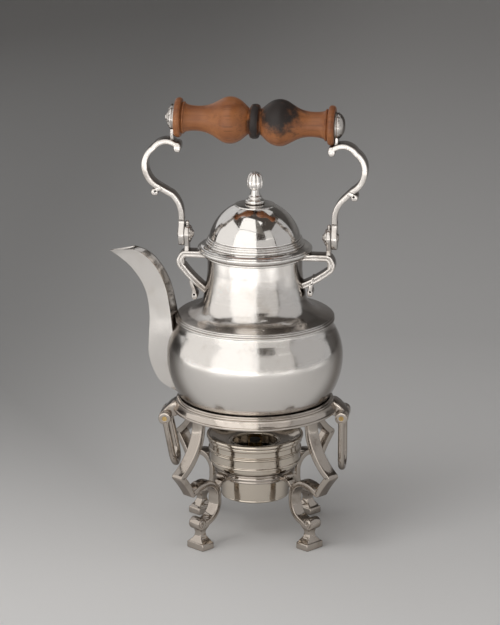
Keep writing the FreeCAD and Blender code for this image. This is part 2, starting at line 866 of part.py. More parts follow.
def lamp_drum():
    """Banded wall round the flame."""
    low, high = DRUM_Z
    outer = [
        (33.4, low),
        (35.6, low + 0.6),
        (35.9, low + 1.6, 0.4),
        (DRUM_RADIUS, low + 2.6, 0.2),
        (DRUM_RADIUS, low + 8.2),
        (DRUM_RADIUS + 0.7, low + 9.2, 0.3),
        (DRUM_RADIUS, low + 10.4, 0.3),
        (DRUM_RADIUS, low + 15.0),
        (DRUM_RADIUS + 1.0, low + 16.0, 0.3),
        (DRUM_RADIUS + 1.0, high),
    ]
    inner = [(DRUM_RADIUS - DRUM_WALL, high), (DRUM_RADIUS - DRUM_WALL, low + DRUM_WALL), (31.9, low)]
    return turned(outer + inner)


def lamp_cover():
    """Dished ring with a burner hole, resting loose on the drum."""
    low = DRUM_Z[1] + GAP
    return turned([
        (COVER_HOLE, low - COVER_DISH),
        (COVER_HOLE + 1.2, low - COVER_DISH - 0.4, 0.3),
        (33.2, low, 0.12),
        (COVER_RADIUS - 0.6, low),
        (COVER_RADIUS, low + 0.9, 0.3),
        (COVER_RADIUS, low + 1.8, 0.2),
        (COVER_RADIUS - 0.9, low + 2.9, 0.4),
        (COVER_RADIUS - 2.4, low + 2.7, 0.3),
        (34.2, low + 1.3),
        (COVER_HOLE + 1.0, low - COVER_DISH + 1.0, -0.12),
    ])


# ---------------------------------------------------------------- write

def pieces():
    made = {
        "kettle_body": kettle_body(),
        "kettle_shoulder": kettle_shoulder(),
        "kettle_foot": kettle_foot(),
        "shoulder_moulding": shoulder_moulding().cut(spout_loft(0.0)),
        "neck_rim": neck_rim(),
        "spout": spout(),
        "lid_flange": lid_flange(),
        "lid_step_ring": lid_step_ring(),
        "lid_bezel": lid_bezel(),
        "lid_dome": lid_dome(),
        "finial": finial(),
        "finial_nut": finial_nut(),
        "grip": grip(),
        "grip_rod": grip_rod(),
        "stand_ring": stand_ring(),
        "lamp_cradle": lamp_cradle(),
        "lamp_cup": lamp_cup(),
        "lamp_lid_plate": lamp_lid_plate(),
        "lamp_wick_tube": wick_tube(),
        "lamp_wick": wick(),
        "lamp_drum": lamp_drum(),
        "lamp_cover": lamp_cover(),
    }
    for side in SIDES:
        made["bracket_" + side] = bracket(side)
        made["hinge_plate_" + side] = hinge_plate(side)
        made["hinge_pin_" + side] = lifted(hinge_pin(side))
        made["rosette_" + side] = lifted(rosette(side))
        made["bail_arm_" + side] = bail_arm(side)
        made["rod_cap_" + side] = rod_cap(side)
        made["knuckle_" + side] = knuckle(side)
        made["drop_pin_" + side] = drop_pin(side)
        made["drop_handle_" + side] = drop_handle(side)
    for name, degrees in zip(LEG_NAMES, LEG_ANGLES):
        made["leg_" + name] = leg(degrees)
        made["lamp_bracket_" + name] = lamp_bracket(degrees)
    return made


def lifted(shape):
    """From the X axis up to the hinge."""
    shape.translate(Z_AXIS * PIVOT_Z)
    return shape


def main():
    os.makedirs("parts", exist_ok=True)
    for name, shape in pieces().items():
        shape.translate(X_AXIS * AXIS_X)
        print(f"{name:28s} valid {shape.isValid()} solids {len(shape.Solids)} volume {shape.Volume:10.1f}")
        shape.exportStep("parts/" + name + ".step")


main()
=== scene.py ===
import math

import bmesh
import bpy
from mathutils import Matrix, Vector, noise


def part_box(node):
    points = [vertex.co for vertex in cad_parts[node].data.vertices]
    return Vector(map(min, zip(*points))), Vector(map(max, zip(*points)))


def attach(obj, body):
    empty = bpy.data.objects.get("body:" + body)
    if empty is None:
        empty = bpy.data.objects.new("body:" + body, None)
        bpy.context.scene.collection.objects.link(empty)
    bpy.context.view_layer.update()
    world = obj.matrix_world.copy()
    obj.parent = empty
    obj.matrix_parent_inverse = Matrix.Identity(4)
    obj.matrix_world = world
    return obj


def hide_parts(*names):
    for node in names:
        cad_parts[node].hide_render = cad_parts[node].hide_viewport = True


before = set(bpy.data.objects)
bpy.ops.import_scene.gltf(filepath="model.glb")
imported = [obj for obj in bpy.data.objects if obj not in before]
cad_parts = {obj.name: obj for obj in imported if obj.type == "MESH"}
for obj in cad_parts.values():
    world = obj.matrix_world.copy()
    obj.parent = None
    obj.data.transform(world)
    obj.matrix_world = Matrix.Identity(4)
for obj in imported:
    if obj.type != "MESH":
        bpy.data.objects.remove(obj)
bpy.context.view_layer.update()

MM = 0.001


def centre(node):
    low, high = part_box(node)
    return (low + high) / 2 / MM


# Everything below is in millimetres about the kettle's own upright axis, as the CAD model is
# drawn; AXIS moves it into the frame.
AXIS = Vector((centre("lid_flange").x, 0, 0))
STAND_TURN = 7.0
TURN_STEPS = 224

# ------------------------------------------------------------------ outlines


def unit(x, z):
    size = math.hypot(x, z)
    return x / size, z / size


def bow_of(point):
    return point[2] if len(point) > 2 else 0.0


def arc_between(start, end, step):
    """Points after start, up to end, on the arc that the bow of end gives."""
    bow = bow_of(end)
    chord = math.dist(start[:2], end[:2])
    if not bow or chord < 1e-6:
        return [(end[0], end[1])]
    half = 2 * math.atan(abs(bow))
    radius = chord / 2 / math.sin(half)
    count = max(3, math.ceil(2 * half * radius / step))
    along = unit(end[0] - start[0], end[1] - start[1])
    side = (along[1], -along[0]) if bow > 0 else (-along[1], along[0])
    drop = radius * math.cos(half)
    middle = ((start[0] + end[0]) / 2, (start[1] + end[1]) / 2)
    points = []
    for i in range(1, count + 1):
        angle = -half + 2 * half * i / count
        run = radius * math.sin(angle)
        rise = radius * math.cos(angle) - drop
        points.append((middle[0] + along[0] * run + side[0] * rise,
                       middle[1] + along[1] * run + side[1] * rise))
    return points


def traced(outline, step=0.8):
    """An outline with bows as a plain list of points."""
    points = [tuple(outline[0][:2])]
    for start, end in zip(outline, outline[1:]):
        points += arc_between(points[-1], end, step)
    return points


def turn_at(a, b, c):
    before = unit(b[0] - a[0], b[1] - a[1])
    after = unit(c[0] - b[0], c[1] - b[1])
    return math.acos(max(-1.0, min(1.0, before[0] * after[0] + before[1] * after[1])))


def softened(points, radius, closed=False, least=0.35):
    """The same outline with its sharp corners rounded off."""
    count = len(points)
    out = []
    for i, point in enumerate(points):
        if not closed and i in (0, count - 1):
            out.append(point)
            continue
        a, c = points[i - 1], points[(i + 1) % count]
        la, lc = math.dist(a, point), math.dist(c, point)
        if min(la, lc) < 1e-6:
            continue
        if turn_at(a, point, c) < least:
            out.append(point)
            continue
        cut = min(radius, 0.42 * la, 0.42 * lc)
        first = (point[0] + (a[0] - point[0]) * cut / la, point[1] + (a[1] - point[1]) * cut / la)
        last = (point[0] + (c[0] - point[0]) * cut / lc, point[1] + (c[1] - point[1]) * cut / lc)
        for k in range(5):
            t = k / 4
            out.append(tuple((1 - t) ** 2 * first[j] + 2 * t * (1 - t) * point[j] + t * t * last[j]
                             for j in (0, 1)))
    return out


# ------------------------------------------------------------------ mesh pieces


def mesh_piece(name, points, faces, material, smooth_angle=32.0):
    """An object from points in millimetres and faces, smooth except at real edges."""
    mesh = bpy.data.meshes.new(name)
    mesh.from_pydata([p * MM for p in points], [], faces)
    work = bmesh.new()
    work.from_mesh(mesh)
    bmesh.ops.remove_doubles(work, verts=work.verts, dist=1e-7)
    bmesh.ops.dissolve_degenerate(work, edges=work.edges, dist=1e-8)
    bmesh.ops.recalc_face_normals(work, faces=work.faces)
    work.to_mesh(mesh)
    work.free()
    mesh.shade_smooth()
    mesh.set_sharp_from_angle(angle=math.radians(smooth_angle))
    mesh.materials.append(material)
    piece = bpy.data.objects.new(name, mesh)
    bpy.context.scene.collection.objects.link(piece)
    return piece


def moved(points, turn=0.0, shift=Vector((0, 0, 0))):
    spin = Matrix.Rotation(math.radians(turn), 3, "Z")
    return [spin @ p + shift for p in points]


def lathe(name, outline, material, closed=True, steps=TURN_STEPS, soft=0.25, sharp=32.0,
          wobble=0.0, reshape=None, step=0.8):
    """A turned piece; wobble is the hand-raised unevenness, in millimetres."""
    ring = softened(traced(outline, step), soft, closed)
    points = []
    for radius, z in ring:
        for k in range(steps):
            angle = 2 * math.pi * k / steps
            r = radius
            if reshape:
                r = reshape(radius, z, angle)
            p = Vector((r * math.cos(angle), r * math.sin(angle), z))
            if wobble and radius > 1:
                r += wobble * noise.noise(p * 0.035 + Vector((3.1, 7.7, 1.3)))
                p = Vector((r * math.cos(angle), r * math.sin(angle), z))
            points.append(p)
    faces = []
    rows = len(ring) if closed else len(ring) - 1
    for i in range(rows):
        j = (i + 1) % len(ring)
        for k in range(steps):
            n = (k + 1) % steps
            faces.append((i * steps + k, i * steps + n, j * steps + n, j * steps + k))
    return mesh_piece(name, moved(points, shift=AXIS), faces, material, sharp)


def offset_line(points, distance):
    """A plain list of points moved sideways, to the left of the way of travel."""
    out = []
    last = len(points) - 1
    for i, point in enumerate(points):
        before = unit(point[0] - points[i - 1][0], point[1] - points[i - 1][1]) if i else None
        after = unit(points[i + 1][0] - point[0], points[i + 1][1] - point[1]) if i < last else None
        before = before or after
        after = after or before
        side = unit(-before[1] - after[1], before[0] + after[0])
        scale = distance / max(0.4, side[0] * -before[1] + side[1] * before[0])
        out.append((point[0] + side[0] * scale, point[1] + side[1] * scale))
    return out


def sheet_outline(outer, wall, step=0.8):
    """Closed outline of a turned sheet whose outside is given, from the bottom up."""
    line = traced(outer, step)
    inner = [(max(0.0, r), z) for r, z in offset_line(line, wall)]
    return line + inner[::-1]


def rounded_section(thick, wide, radius, reed=0.0):
    """Section of a flat bar, as (across its thickness, across its width)."""
    a, b = thick / 2, wide / 2
    corners = [(-a, -b), (a, -b), (a, b), (-a, b)]
    if reed:
        corners = [(-a, -b), (-a * 0.25, -b), (0.0, -b + reed), (a * 0.25, -b), (a, -b),
                   (a, b), (a * 0.25, b), (0.0, b - reed), (-a * 0.25, b), (-a, b)]
    return softened(corners, radius, closed=True, least=0.2)


def sweep(name, path, section_at, material, sharp=32.0, turn=0.0, shift=None, step=0.8,
          soft=0.0, mirror=False):
    """A bar along a path in the XZ plane; section_at(share) gives its section there."""
    line = traced(path, step)
    if soft:
        line = softened(line, soft)
    lengths = [0.0]
    for a, b in zip(line, line[1:]):
        lengths.append(lengths[-1] + math.dist(a, b))
    total = lengths[-1]
    points = []
    last = len(line) - 1
    for i, (x, z) in enumerate(line):
        before = unit(x - line[i - 1][0], z - line[i - 1][1]) if i else None
        after = unit(line[i + 1][0] - x, line[i + 1][1] - z) if i < last else None
        before = before or after
        after = after or before
        side = unit(-before[1] - after[1], before[0] + after[0])
        scale = 1 / max(0.5, side[0] * -before[1] + side[1] * before[0])
        for across, wide in section_at(lengths[i] / total):
            points.append(Vector((x + side[0] * across * scale, wide, z + side[1] * across * scale)))
    count = len(points) // len(line)
    faces = []
    for i in range(last):
        for k in range(count):
            n = (k + 1) % count
            faces.append((i * count + k, i * count + n, (i + 1) * count + n, (i + 1) * count + k))
    faces.append(tuple(range(count)))
    faces.append(tuple(last * count + k for k in range(count)))
    if mirror:
        points = [Vector((-p.x, p.y, p.z)) for p in points]
    return mesh_piece(name, moved(points, turn, shift or AXIS), faces, material, sharp)


def merge(name, *parts):
    """Several meshes as one piece."""
    work = bmesh.new()
    for part in parts:
        work.from_mesh(part.data)
    first = parts[0]
    mesh = bpy.data.meshes.new(name)
    work.to_mesh(mesh)
    work.free()
    mesh.materials.append(first.data.materials[0])
    for part in parts:
        bpy.data.objects.remove(part)
    piece = bpy.data.objects.new(name, mesh)
    bpy.context.scene.collection.objects.link(piece)
    return piece


def place(piece, body, slot, *nodes):
    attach(piece, body)
    if nodes:
        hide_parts(*nodes)
    return piece


def volute(name, place_xz, radius, width, material, turn=0.0, sense=1, turns=1.75, start=0.0, y=0.0):
    """The rolled-up end of a strap: a short roll along Y whose faces show the spiral."""
    rings, steps, edge = 18, 56, 0.7
    points, faces = [], []
    half = width / 2

    def relief(r, angle):
        phase = r / radius * turns - sense * (angle - start) / (2 * math.pi)
        groove = 0.5 + 0.5 * math.cos(2 * math.pi * phase)
        return -0.75 * groove ** 3 * min(1.0, (radius - r) / (0.18 * radius) + 0.15)

    profile = [(radius * i / rings, True) for i in range(rings)] + [(radius, False)]
    for face_side in (-1, 1):
        for r, inside in profile:
            for k in range(steps):
                angle = 2 * math.pi * k / steps
                lift = relief(r, angle) if inside else -edge
                points.append(Vector((r * math.cos(angle), face_side * (half + lift), r * math.sin(angle))))
    count = len(profile)
    for side in (0, 1):
        base = side * count * steps
        for i in range(count - 1):
            for k in range(steps):
                n = (k + 1) % steps
                faces.append((base + i * steps + k, base + i * steps + n,
                              base + (i + 1) * steps + n, base + (i + 1) * steps + k))
    first, second = (count - 1) * steps, (2 * count - 1) * steps
    for k in range(steps):
        n = (k + 1) % steps
        faces.append((first + k, first + n, second + n, second + k))
    points = [p + Vector((place_xz[0], y, place_xz[1])) for p in points]
    return mesh_piece(name, moved(points, turn, AXIS), faces, material, 40)


def prism(name, outline, low, high, axis, material, bevel=0.5, centre_at=Vector((0, 0, 0)), turn=0.0):
    """A plate with bevelled edges; the outline lies across the given axis."""
    count = len(outline)
    points = []
    for place in (low, high):
        for a, b in outline:
            if axis == "X":
                points.append(Vector((place, a, b)))
            elif axis == "Y":
                points.append(Vector((a, place, b)))
            else:
                points.append(Vector((a, b, place)))
    faces = [tuple(range(count)), tuple(range(count, 2 * count))]
    faces += [(k, (k + 1) % count, count + (k + 1) % count, count + k) for k in range(count)]
    piece = mesh_piece(name, moved([p + centre_at for p in points], turn, AXIS), faces, material, 30)
    rounded_edges(piece, bevel)
    return piece


def rounded_edges(piece, width, angle=35.0, segments=3):
    bevel = piece.modifiers.new("rounded_edges", "BEVEL")
    bevel.width = width * MM
    bevel.segments = segments
    bevel.limit_method = "ANGLE"
    bevel.angle_limit = math.radians(angle)
    bevel.harden_normals = False
    bpy.context.view_layer.update()
    depsgraph = bpy.context.evaluated_depsgraph_get()
    final = bpy.data.meshes.new_from_object(piece.evaluated_get(depsgraph))
    piece.modifiers.clear()
    piece.data = final
    final.shade_smooth()
    final.set_sharp_from_angle(angle=math.radians(38))


def cut(piece, cutter, folded=False):
    """Takes the cutter's space out of the piece; the cutter goes."""
    change = piece.modifiers.new("cut", "BOOLEAN")
    change.operation = "DIFFERENCE"
    change.solver = "EXACT"
    change.use_self = folded
    change.object = cutter
    bpy.context.view_layer.update()
    depsgraph = bpy.context.evaluated_depsgraph_get()
    final = bpy.data.meshes.new_from_object(piece.evaluated_get(depsgraph))
    piece.modifiers.clear()
    piece.data = final
    bpy.data.objects.remove(cutter)
    return piece


def circle(radius, y=0.0, z=0.0, steps=40, start=0.0, end=360.0):
    return [(y + radius * math.cos(math.radians(start + (end - start) * k / steps)),
             z + radius * math.sin(math.radians(start + (end - start) * k / steps)))
            for k in range(steps)]


def lathe_x(name, outline, z, material, reshape=None, steps=96, soft=0.2, sharp=32.0, shift_y=0.0,
            mirror=False, closed=True, step=0.5):
    """A piece turned about a line along X at height z; the outline gives (place along X, radius)."""
    ring = softened(traced([(p[1], p[0], *p[2:]) for p in outline], step), soft, closed)
    points = []
    for radius, place in ring:
        for k in range(steps):
            angle = 2 * math.pi * k / steps
            r = reshape(place, radius, angle) if reshape else radius
            points.append(Vector((-place if mirror else place,
                                  shift_y + r * math.cos(angle), z + r * math.sin(angle))))
    faces = []
    rows = len(ring) if closed else len(ring) - 1
    for i in range(rows):
        j = (i + 1) % len(ring)
        for k in range(steps):
            n = (k + 1) % steps
            faces.append((i * steps + k, i * steps + n, j * steps + n, j * steps + k))
    return mesh_piece(name, moved(points, shift=AXIS), faces, material, sharp)


def lathe_y(name, outline, centre_at, material, steps=72, soft=0.2, sharp=32.0, reshape=None):
    """A piece turned about a line along Y; the outline gives (place along Y, radius)."""
    ring = softened(traced([(p[1], p[0], *p[2:]) for p in outline], 0.5), soft, True)
    points = []
    for radius, place in ring:
        for k in range(steps):
            angle = 2 * math.pi * k / steps
            r = reshape(place, radius, angle) if reshape else radius
            points.append(centre_at + Vector((r * math.cos(angle), place, r * math.sin(angle))))
    faces = []
    for i in range(len(ring)):
        j = (i + 1) % len(ring)
        for k in range(steps):
            n = (k + 1) % steps
            faces.append((i * steps + k, i * steps + n, j * steps + n, j * steps + k))
    return mesh_piece(name, moved(points, shift=AXIS), faces, material, sharp)


# ------------------------------------------------------------------ materials


class Nodes:
    """A material being built: short calls that add a node and join it up."""

    def __init__(self, name):
        self.material = bpy.data.materials.new(name)
        self.material.use_nodes = True
        self.tree = self.material.node_tree
        self.tree.nodes.clear()
        self.output = self.tree.nodes.new("ShaderNodeOutputMaterial")
        self.shader = self.tree.nodes.new("ShaderNodeBsdfPrincipled")
        self.join(self.shader.outputs["BSDF"], self.output.inputs["Surface"])
        self.place = self.tree.nodes.new("ShaderNodeTexCoord").outputs["Object"]

    def join(self, source, target):
        self.tree.links.new(source, target)

    def add(self, kind, values=None, links=None, **settings):
        node = self.tree.nodes.new("ShaderNode" + kind)
        for key, value in settings.items():
            setattr(node, key, value)
        for key, value in (values or {}).items():
            node.inputs[key].default_value = value
        for key, source in (links or {}).items():
            self.join(source, node.inputs[key])
        return node

    def scaled(self, x, y, z, turn=(0, 0, 0)):
        node = self.add("Mapping", {"Scale": (x, y, z), "Rotation": turn}, {"Vector": self.place})
        return node.outputs["Vector"]

    def noise(self, scale, detail=3.0, rough=0.5, vector=None, distortion=0.0):
        node = self.add("TexNoise", {"Scale": scale, "Detail": detail, "Roughness": rough,
                                     "Distortion": distortion},
                        {"Vector": vector or self.place})
        return node.outputs["Fac"]

    def span(self, source, low, high, to_low=0.0, to_high=1.0, smooth=True):
        node = self.add("MapRange", {"From Min": low, "From Max": high, "To Min": to_low, "To Max": to_high},
                        {"Value": source})
        node.interpolation_type = "SMOOTHSTEP" if smooth else "LINEAR"
        return node.outputs["Result"]

    def sums(self, kind, a, b, clamp=False):
        node = self.add("Math", operation=kind)
        node.use_clamp = clamp
        for socket, value in zip(node.inputs, (a, b)):
            if isinstance(value, (int, float)):
                socket.default_value = value
            else:
                self.join(value, socket)
        return node.outputs[0]

    def blend(self, share, a, b):
        node = self.add("Mix", data_type="RGBA")
        for key, value in (("Factor", share), ("A", a), ("B", b)):
            socket = [s for s in node.inputs if s.name == key and s.enabled][0]
            if isinstance(value, (tuple, float, int)):
                socket.default_value = (*value, 1.0) if isinstance(value, tuple) else value
            else:
                self.join(value, socket)
        return [s for s in node.outputs if s.enabled][0]

    def bump(self, height, strength, distance, normal=None):
        links = {"Height": height}
        if normal:
            links["Normal"] = normal
        return self.add("Bump", {"Strength": strength, "Distance": distance}, links).outputs["Normal"]

    def shine(self, **links):
        for key, value in links.items():
            socket = self.shader.inputs[key.replace("_", " ")]
            if isinstance(value, (tuple, float, int)):
                socket.default_value = (*value, 1.0) if isinstance(value, tuple) else value
            else:
                self.join(value, socket)


# rim gives (from, to, strength) of the painted shade on edges seen edge-on; the hollow colour serves both tarnish and
# painted shade.
def silver(name, bright=(0.91, 0.885, 0.855), dull=(0.60, 0.53, 0.45), hollow_tarnish_and_shade_colour=(0.12, 0.082, 0.055),
           rough=(0.05, 0.13), waves=1.0, reach=0.004, wear=0.5, rim=(0.40, 0.80, 0.7)):
    """Old hand-raised silver: bright where it is rubbed, with brown tarnish and painted shade in the hollows, and
    painted shade on edges seen edge-on.
    """
    n = Nodes(name)
    patches = n.noise(38.0, 5.0, 0.62)
    speckle = n.noise(420.0, 4.0, 0.7)
    # Tarnish with painted shade: ambient occlusion darkens creases and recesses towards the hollow colour.
    hollow = n.add("AmbientOcclusion", {"Distance": reach}, samples=6, only_local=False).outputs["AO"]
    tarnish_and_painted_shade = n.span(hollow, 0.04, 0.60, 1.0, 0.0)
    tarnish_and_painted_shade = n.sums("MULTIPLY", tarnish_and_painted_shade, n.span(patches, 0.25, 0.7, 0.75, 1.25), True)
    stain = n.span(patches, 0.52, 0.78, 0.0, wear)
    stain = n.sums("MULTIPLY", stain, n.span(speckle, 0.35, 0.65, 0.55, 1.0), True)
    colour = n.blend(stain, bright, dull)
    colour = n.blend(tarnish_and_painted_shade, colour, hollow_tarnish_and_shade_colour)
    # Painted shade: faces seen edge-on are darkened towards the hollow colour, as much as rim sets.
    grazing_for_painted_shade = n.add("LayerWeight", {"Blend": 0.5}).outputs["Facing"]
    colour = n.blend(n.span(grazing_for_painted_shade, rim[0], rim[1], 0.0, rim[2]), colour, hollow_tarnish_and_shade_colour)
    smear = n.noise(9.0, 6.0, 0.6, n.scaled(1.0, 1.0, 3.2))
    finish = n.span(smear, 0.3, 0.7, rough[0], rough[1])
    finish = n.sums("ADD", finish, n.span(speckle, 0.45, 0.75, 0.0, 0.10))
    finish = n.sums("ADD", finish, n.sums("MULTIPLY", tarnish_and_painted_shade, 0.22))
    n.shine(Base_Color=colour, Metallic=1.0, Roughness=finish)
    dents = n.noise(52.0, 2.0, 0.45)
    normal = n.bump(dents, 0.5 * waves, 0.0006)
    scratch_a = n.add("TexNoise", {"Scale": 160.0, "Detail": 2.0},
                      {"Vector": n.scaled(1.0, 1.0, 16.0, (0.4, 0.3, 0.2))}).outputs["Fac"]
    scratch_b = n.add("TexNoise", {"Scale": 190.0, "Detail": 2.0},
                      {"Vector": n.scaled(14.0, 1.0, 1.0, (0.2, 0.9, 0.5))}).outputs["Fac"]
    lines = n.sums("ADD", n.span(scratch_a, 0.62, 0.70, 0.0, 1.0), n.span(scratch_b, 0.64, 0.70, 0.0, 1.0))
    normal = n.bump(lines, 0.12, 0.00006, normal)
    normal = n.bump(speckle, 0.10, 0.00005, normal)
    n.shine(Normal=normal)
    return n.material


def turned_wood(name, char_spots):
    """Polished reddish wood with grain along X, scorched at the given places (x, z, reach) in metres."""
    n = Nodes(name)
    grain = n.noise(60.0, 6.0, 0.65, n.scaled(0.10, 1.0, 1.0), 0.6)
    fine = n.noise(520.0, 3.0, 0.6, n.scaled(0.035, 1.0, 1.0), 0.2)
    broad = n.noise(24.0, 3.0, 0.5, n.scaled(0.6, 1.0, 1.0), 0.8)
    colour = n.blend(n.span(grain, 0.3, 0.7), (0.36, 0.135, 0.042), (0.18, 0.056, 0.018))
    colour = n.blend(n.span(fine, 0.50, 0.68, 0.0, 0.45), colour, (0.10, 0.030, 0.012))
    colour = n.blend(n.span(broad, 0.45, 0.7, 0.0, 0.5), colour, (0.45, 0.18, 0.060))
    parts = n.add("SeparateXYZ", links={"Vector": n.place})
    edge = n.noise(150.0, 4.0, 0.6)
    burnt = None
    for x, z, reach_x, reach_z in char_spots:
        dx = n.sums("DIVIDE", n.sums("SUBTRACT", parts.outputs["X"], x), reach_x)
        dz = n.sums("DIVIDE", n.sums("SUBTRACT", parts.outputs["Z"], z), reach_z)
        far = n.sums("SQRT", n.sums("ADD", n.sums("MULTIPLY", dx, dx), n.sums("MULTIPLY", dz, dz)), 0.0)
        far = n.sums("ADD", far, n.span(edge, 0.2, 0.8, -0.35, 0.35))
        spot = n.span(far, 0.45, 1.25, 1.0, 0.0)
        burnt = spot if burnt is None else n.sums("MAXIMUM", burnt, spot)
    colour = n.blend(burnt, colour, (0.016, 0.010, 0.008))
    finish = n.span(grain, 0.2, 0.8, 0.30, 0.46)
    finish = n.sums("ADD", finish, n.sums("MULTIPLY", burnt, 0.12))
    n.shine(Base_Color=colour, Metallic=0.0, Roughness=finish)
    normal = n.bump(grain, 0.25, 0.0003)
    normal = n.bump(fine, 0.30, 0.00012, normal)
    n.shine(Normal=normal)
    return n.material


def plain_metal(name, light, dark, rough, metallic=1.0):
    """Iron, brass: a metal with mottled colour and an uneven surface."""
    n = Nodes(name)
    patches = n.noise(120.0, 5.0, 0.65)
    grit = n.noise(900.0, 3.0, 0.6)
    n.shine(Base_Color=n.blend(n.span(patches, 0.35, 0.68), light, dark), Metallic=metallic,
            Roughness=n.span(patches, 0.3, 0.7, rough[0], rough[1]))
    n.shine(Normal=n.bump(grit, 0.25, 0.00008, n.bump(patches, 0.3, 0.0003)))
    return n.material


def cotton(name):
    """Plaited wick, scorched at its top."""
    n = Nodes(name)
    strands = n.add("TexWave", {"Scale": 420.0, "Distortion": 3.0, "Detail": 2.0},
                    {"Vector": n.scaled(1.0, 1.0, 0.6, (0.5, 0.4, 0.0))}, wave_type="BANDS").outputs["Fac"]
    height = n.add("SeparateXYZ", links={"Vector": n.place}).outputs["Z"]
    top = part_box("lamp_wick")[1].z
    scorch = n.span(height, top - 0.006, top - 0.001)
    colour = n.blend(n.span(strands, 0.2, 0.8), (0.30, 0.26, 0.19), (0.62, 0.56, 0.44))
    n.shine(Base_Color=n.blend(scorch, colour, (0.02, 0.017, 0.014)), Roughness=0.95)
    n.shine(Normal=n.bump(strands, 0.6, 0.0004))
    return n.material


# ------------------------------------------------------------------ finishes

GRIP_Z = centre("grip").z
GRIP_HALF = 60.9
GRIP_TILT = 1.5            # degrees: its right end hangs lower
AX = AXIS.x * MM

KETTLE_SILVER = silver("kettle_silver", (0.86, 0.83, 0.795), wear=0.50, rough=(0.11, 0.20), waves=1.6,
                       reach=0.007, rim=(0.42, 0.70, 0.75))
LID_SILVER = silver("lid_silver", wear=0.40, rough=(0.06, 0.12), reach=0.006, rim=(0.55, 0.95, 0.6))
HANDLE_SILVER = silver("handle_silver", (0.70, 0.665, 0.63), (0.30, 0.245, 0.195), wear=0.85,
                       rough=(0.08, 0.18), waves=1.2, reach=0.009, rim=(0.30, 0.70, 0.85))
# Darker copies of the silver for the stand and legs: partly heavier tarnish, partly painted shade standing in for
# their reflections of the shadowed floor.
STAND_SILVER = silver("stand_silver", (0.66, 0.60, 0.54), (0.33, 0.255, 0.20), wear=0.85,
                      rough=(0.08, 0.18), waves=1.2, reach=0.008)
LEG_SILVER = silver("leg_silver", (0.55, 0.495, 0.44), (0.19, 0.145, 0.11), wear=0.95,
                    rough=(0.05, 0.12), waves=1.2, reach=0.012, rim=(0.30, 0.75, 0.85))
LAMP_SILVER = silver("lamp_silver", (0.72, 0.65, 0.56), (0.40, 0.305, 0.215), wear=0.85,
                     rough=(0.06, 0.15), reach=0.007)
WOOD = turned_wood("grip_wood", [
    (AX + 0.0005, GRIP_Z * MM, 0.0055, 0.030),
    (AX + 0.0185, GRIP_Z * MM + 0.011, 0.019, 0.018),
])
IRON = plain_metal("dark_iron", (0.16, 0.13, 0.11), (0.05, 0.038, 0.03), (0.35, 0.6))
BRASS = plain_metal("old_brass", (0.78, 0.56, 0.24), (0.42, 0.27, 0.10), (0.22, 0.42))
WICK = cotton("wick_cotton")

# ------------------------------------------------------------------ kettle

SHEET = 1.2
BASE_Z = 107.0
BOWL_RADIUS, BOWL_Z = 67.7, 143.5
BELT_RADIUS, BELT_Z = 59.9, (170.6, 175.0)
NECK_RADIUS = 36.3
RIM_Z, RIM_RADIUS = (221.4, 225.7), 38.7
BODY_PATH = [
    (0.0, BASE_Z),
    (51.0, BASE_Z),
    (57.0, 110.2, 0.12),
    (BOWL_RADIUS, BOWL_Z, 0.16),
    (61.3, 165.4, 0.14),
    (BELT_RADIUS, BELT_Z[0], -0.07),
    (BELT_RADIUS, BELT_Z[1]),
    (58.9, 175.8, 0.3),
    (52.0, 177.2),
    (39.0, 191.5, -0.31),
    (NECK_RADIUS, 211.0, -0.03),
    (NECK_RADIUS, RIM_Z[1]),
]

BODY_LINE = traced(BODY_PATH)


def strainer_cutter():
    """Seven drills that go through the wall behind the spout."""
    drills = []
    for i in range(7):
        angle = math.radians(60 * i)
        y, z = (0.0, 0.0) if i == 6 else (7.0 * math.cos(angle), 7.0 * math.sin(angle))
        drills.append(prism(f"drill_{i}", circle(1.6, y, 142.0 + z, 20), -80.0, -52.0, "X",
                            KETTLE_SILVER, 0.01))
    return merge("drills", *drills)


def kettle():
    body = lathe("bowl_and_neck", sheet_outline(BODY_PATH, SHEET), KETTLE_SILVER, soft=0.3, wobble=0.09)
    cut(body, strainer_cutter())
    place(body, "kettle", "silver_kettle", "kettle_body", "kettle_shoulder")
    inner, outer, low = 54.4, 56.6, 103.3
    foot = lathe("foot_ring", [
        (inner, low), (outer - 0.3, low), (outer, low + 0.5, 0.2), (outer - 0.1, low + 1.4, -0.1),
        (outer - 0.5, low + 1.7), (outer - 0.3, low + 2.3, 0.3), (outer - 0.3, 109.0), (inner, 109.0),
    ], KETTLE_SILVER, soft=0.15)
    place(foot, "kettle", "silver_kettle", "kettle_foot")
    low, high = BELT_Z
    moulding = lathe("shoulder_bands", [
        (BELT_RADIUS - 0.3, low + 0.3),
        (60.7, low + 0.7, -0.2),
        (61.2, low + 1.5, 0.45),
        (60.75, low + 2.2, 0.35),
        (60.35, low + 2.5, -0.3),
        (60.8, low + 2.9, 0.3),
        (60.9, low + 3.7, 0.5),
        (60.3, low + 4.15, 0.25),
        (BELT_RADIUS - 0.3, high - 0.1),
    ], KETTLE_SILVER, soft=0.12, step=0.25)
    place(moulding, "kettle", "silver_kettle", "shoulder_moulding")
    low, high = RIM_Z
    rim = lathe("neck_bands", [
        (NECK_RADIUS - 0.2, low - 0.2),
        (RIM_RADIUS - 0.8, low),
        (RIM_RADIUS, low + 1.0, 0.5),
        (RIM_RADIUS - 0.7, low + 1.9, 0.4),
        (RIM_RADIUS - 0.9, low + 2.2, -0.3),
        (RIM_RADIUS - 0.3, low + 2.7, 0.3),
        (RIM_RADIUS - 0.3, high - 0.4, 0.3),
        (RIM_RADIUS - 0.8, high, 0.2),
        (NECK_RADIUS - 0.2, high),
    ], KETTLE_SILVER, soft=0.12, step=0.25)
    place(rim, "kettle", "silver_kettle", "neck_rim")


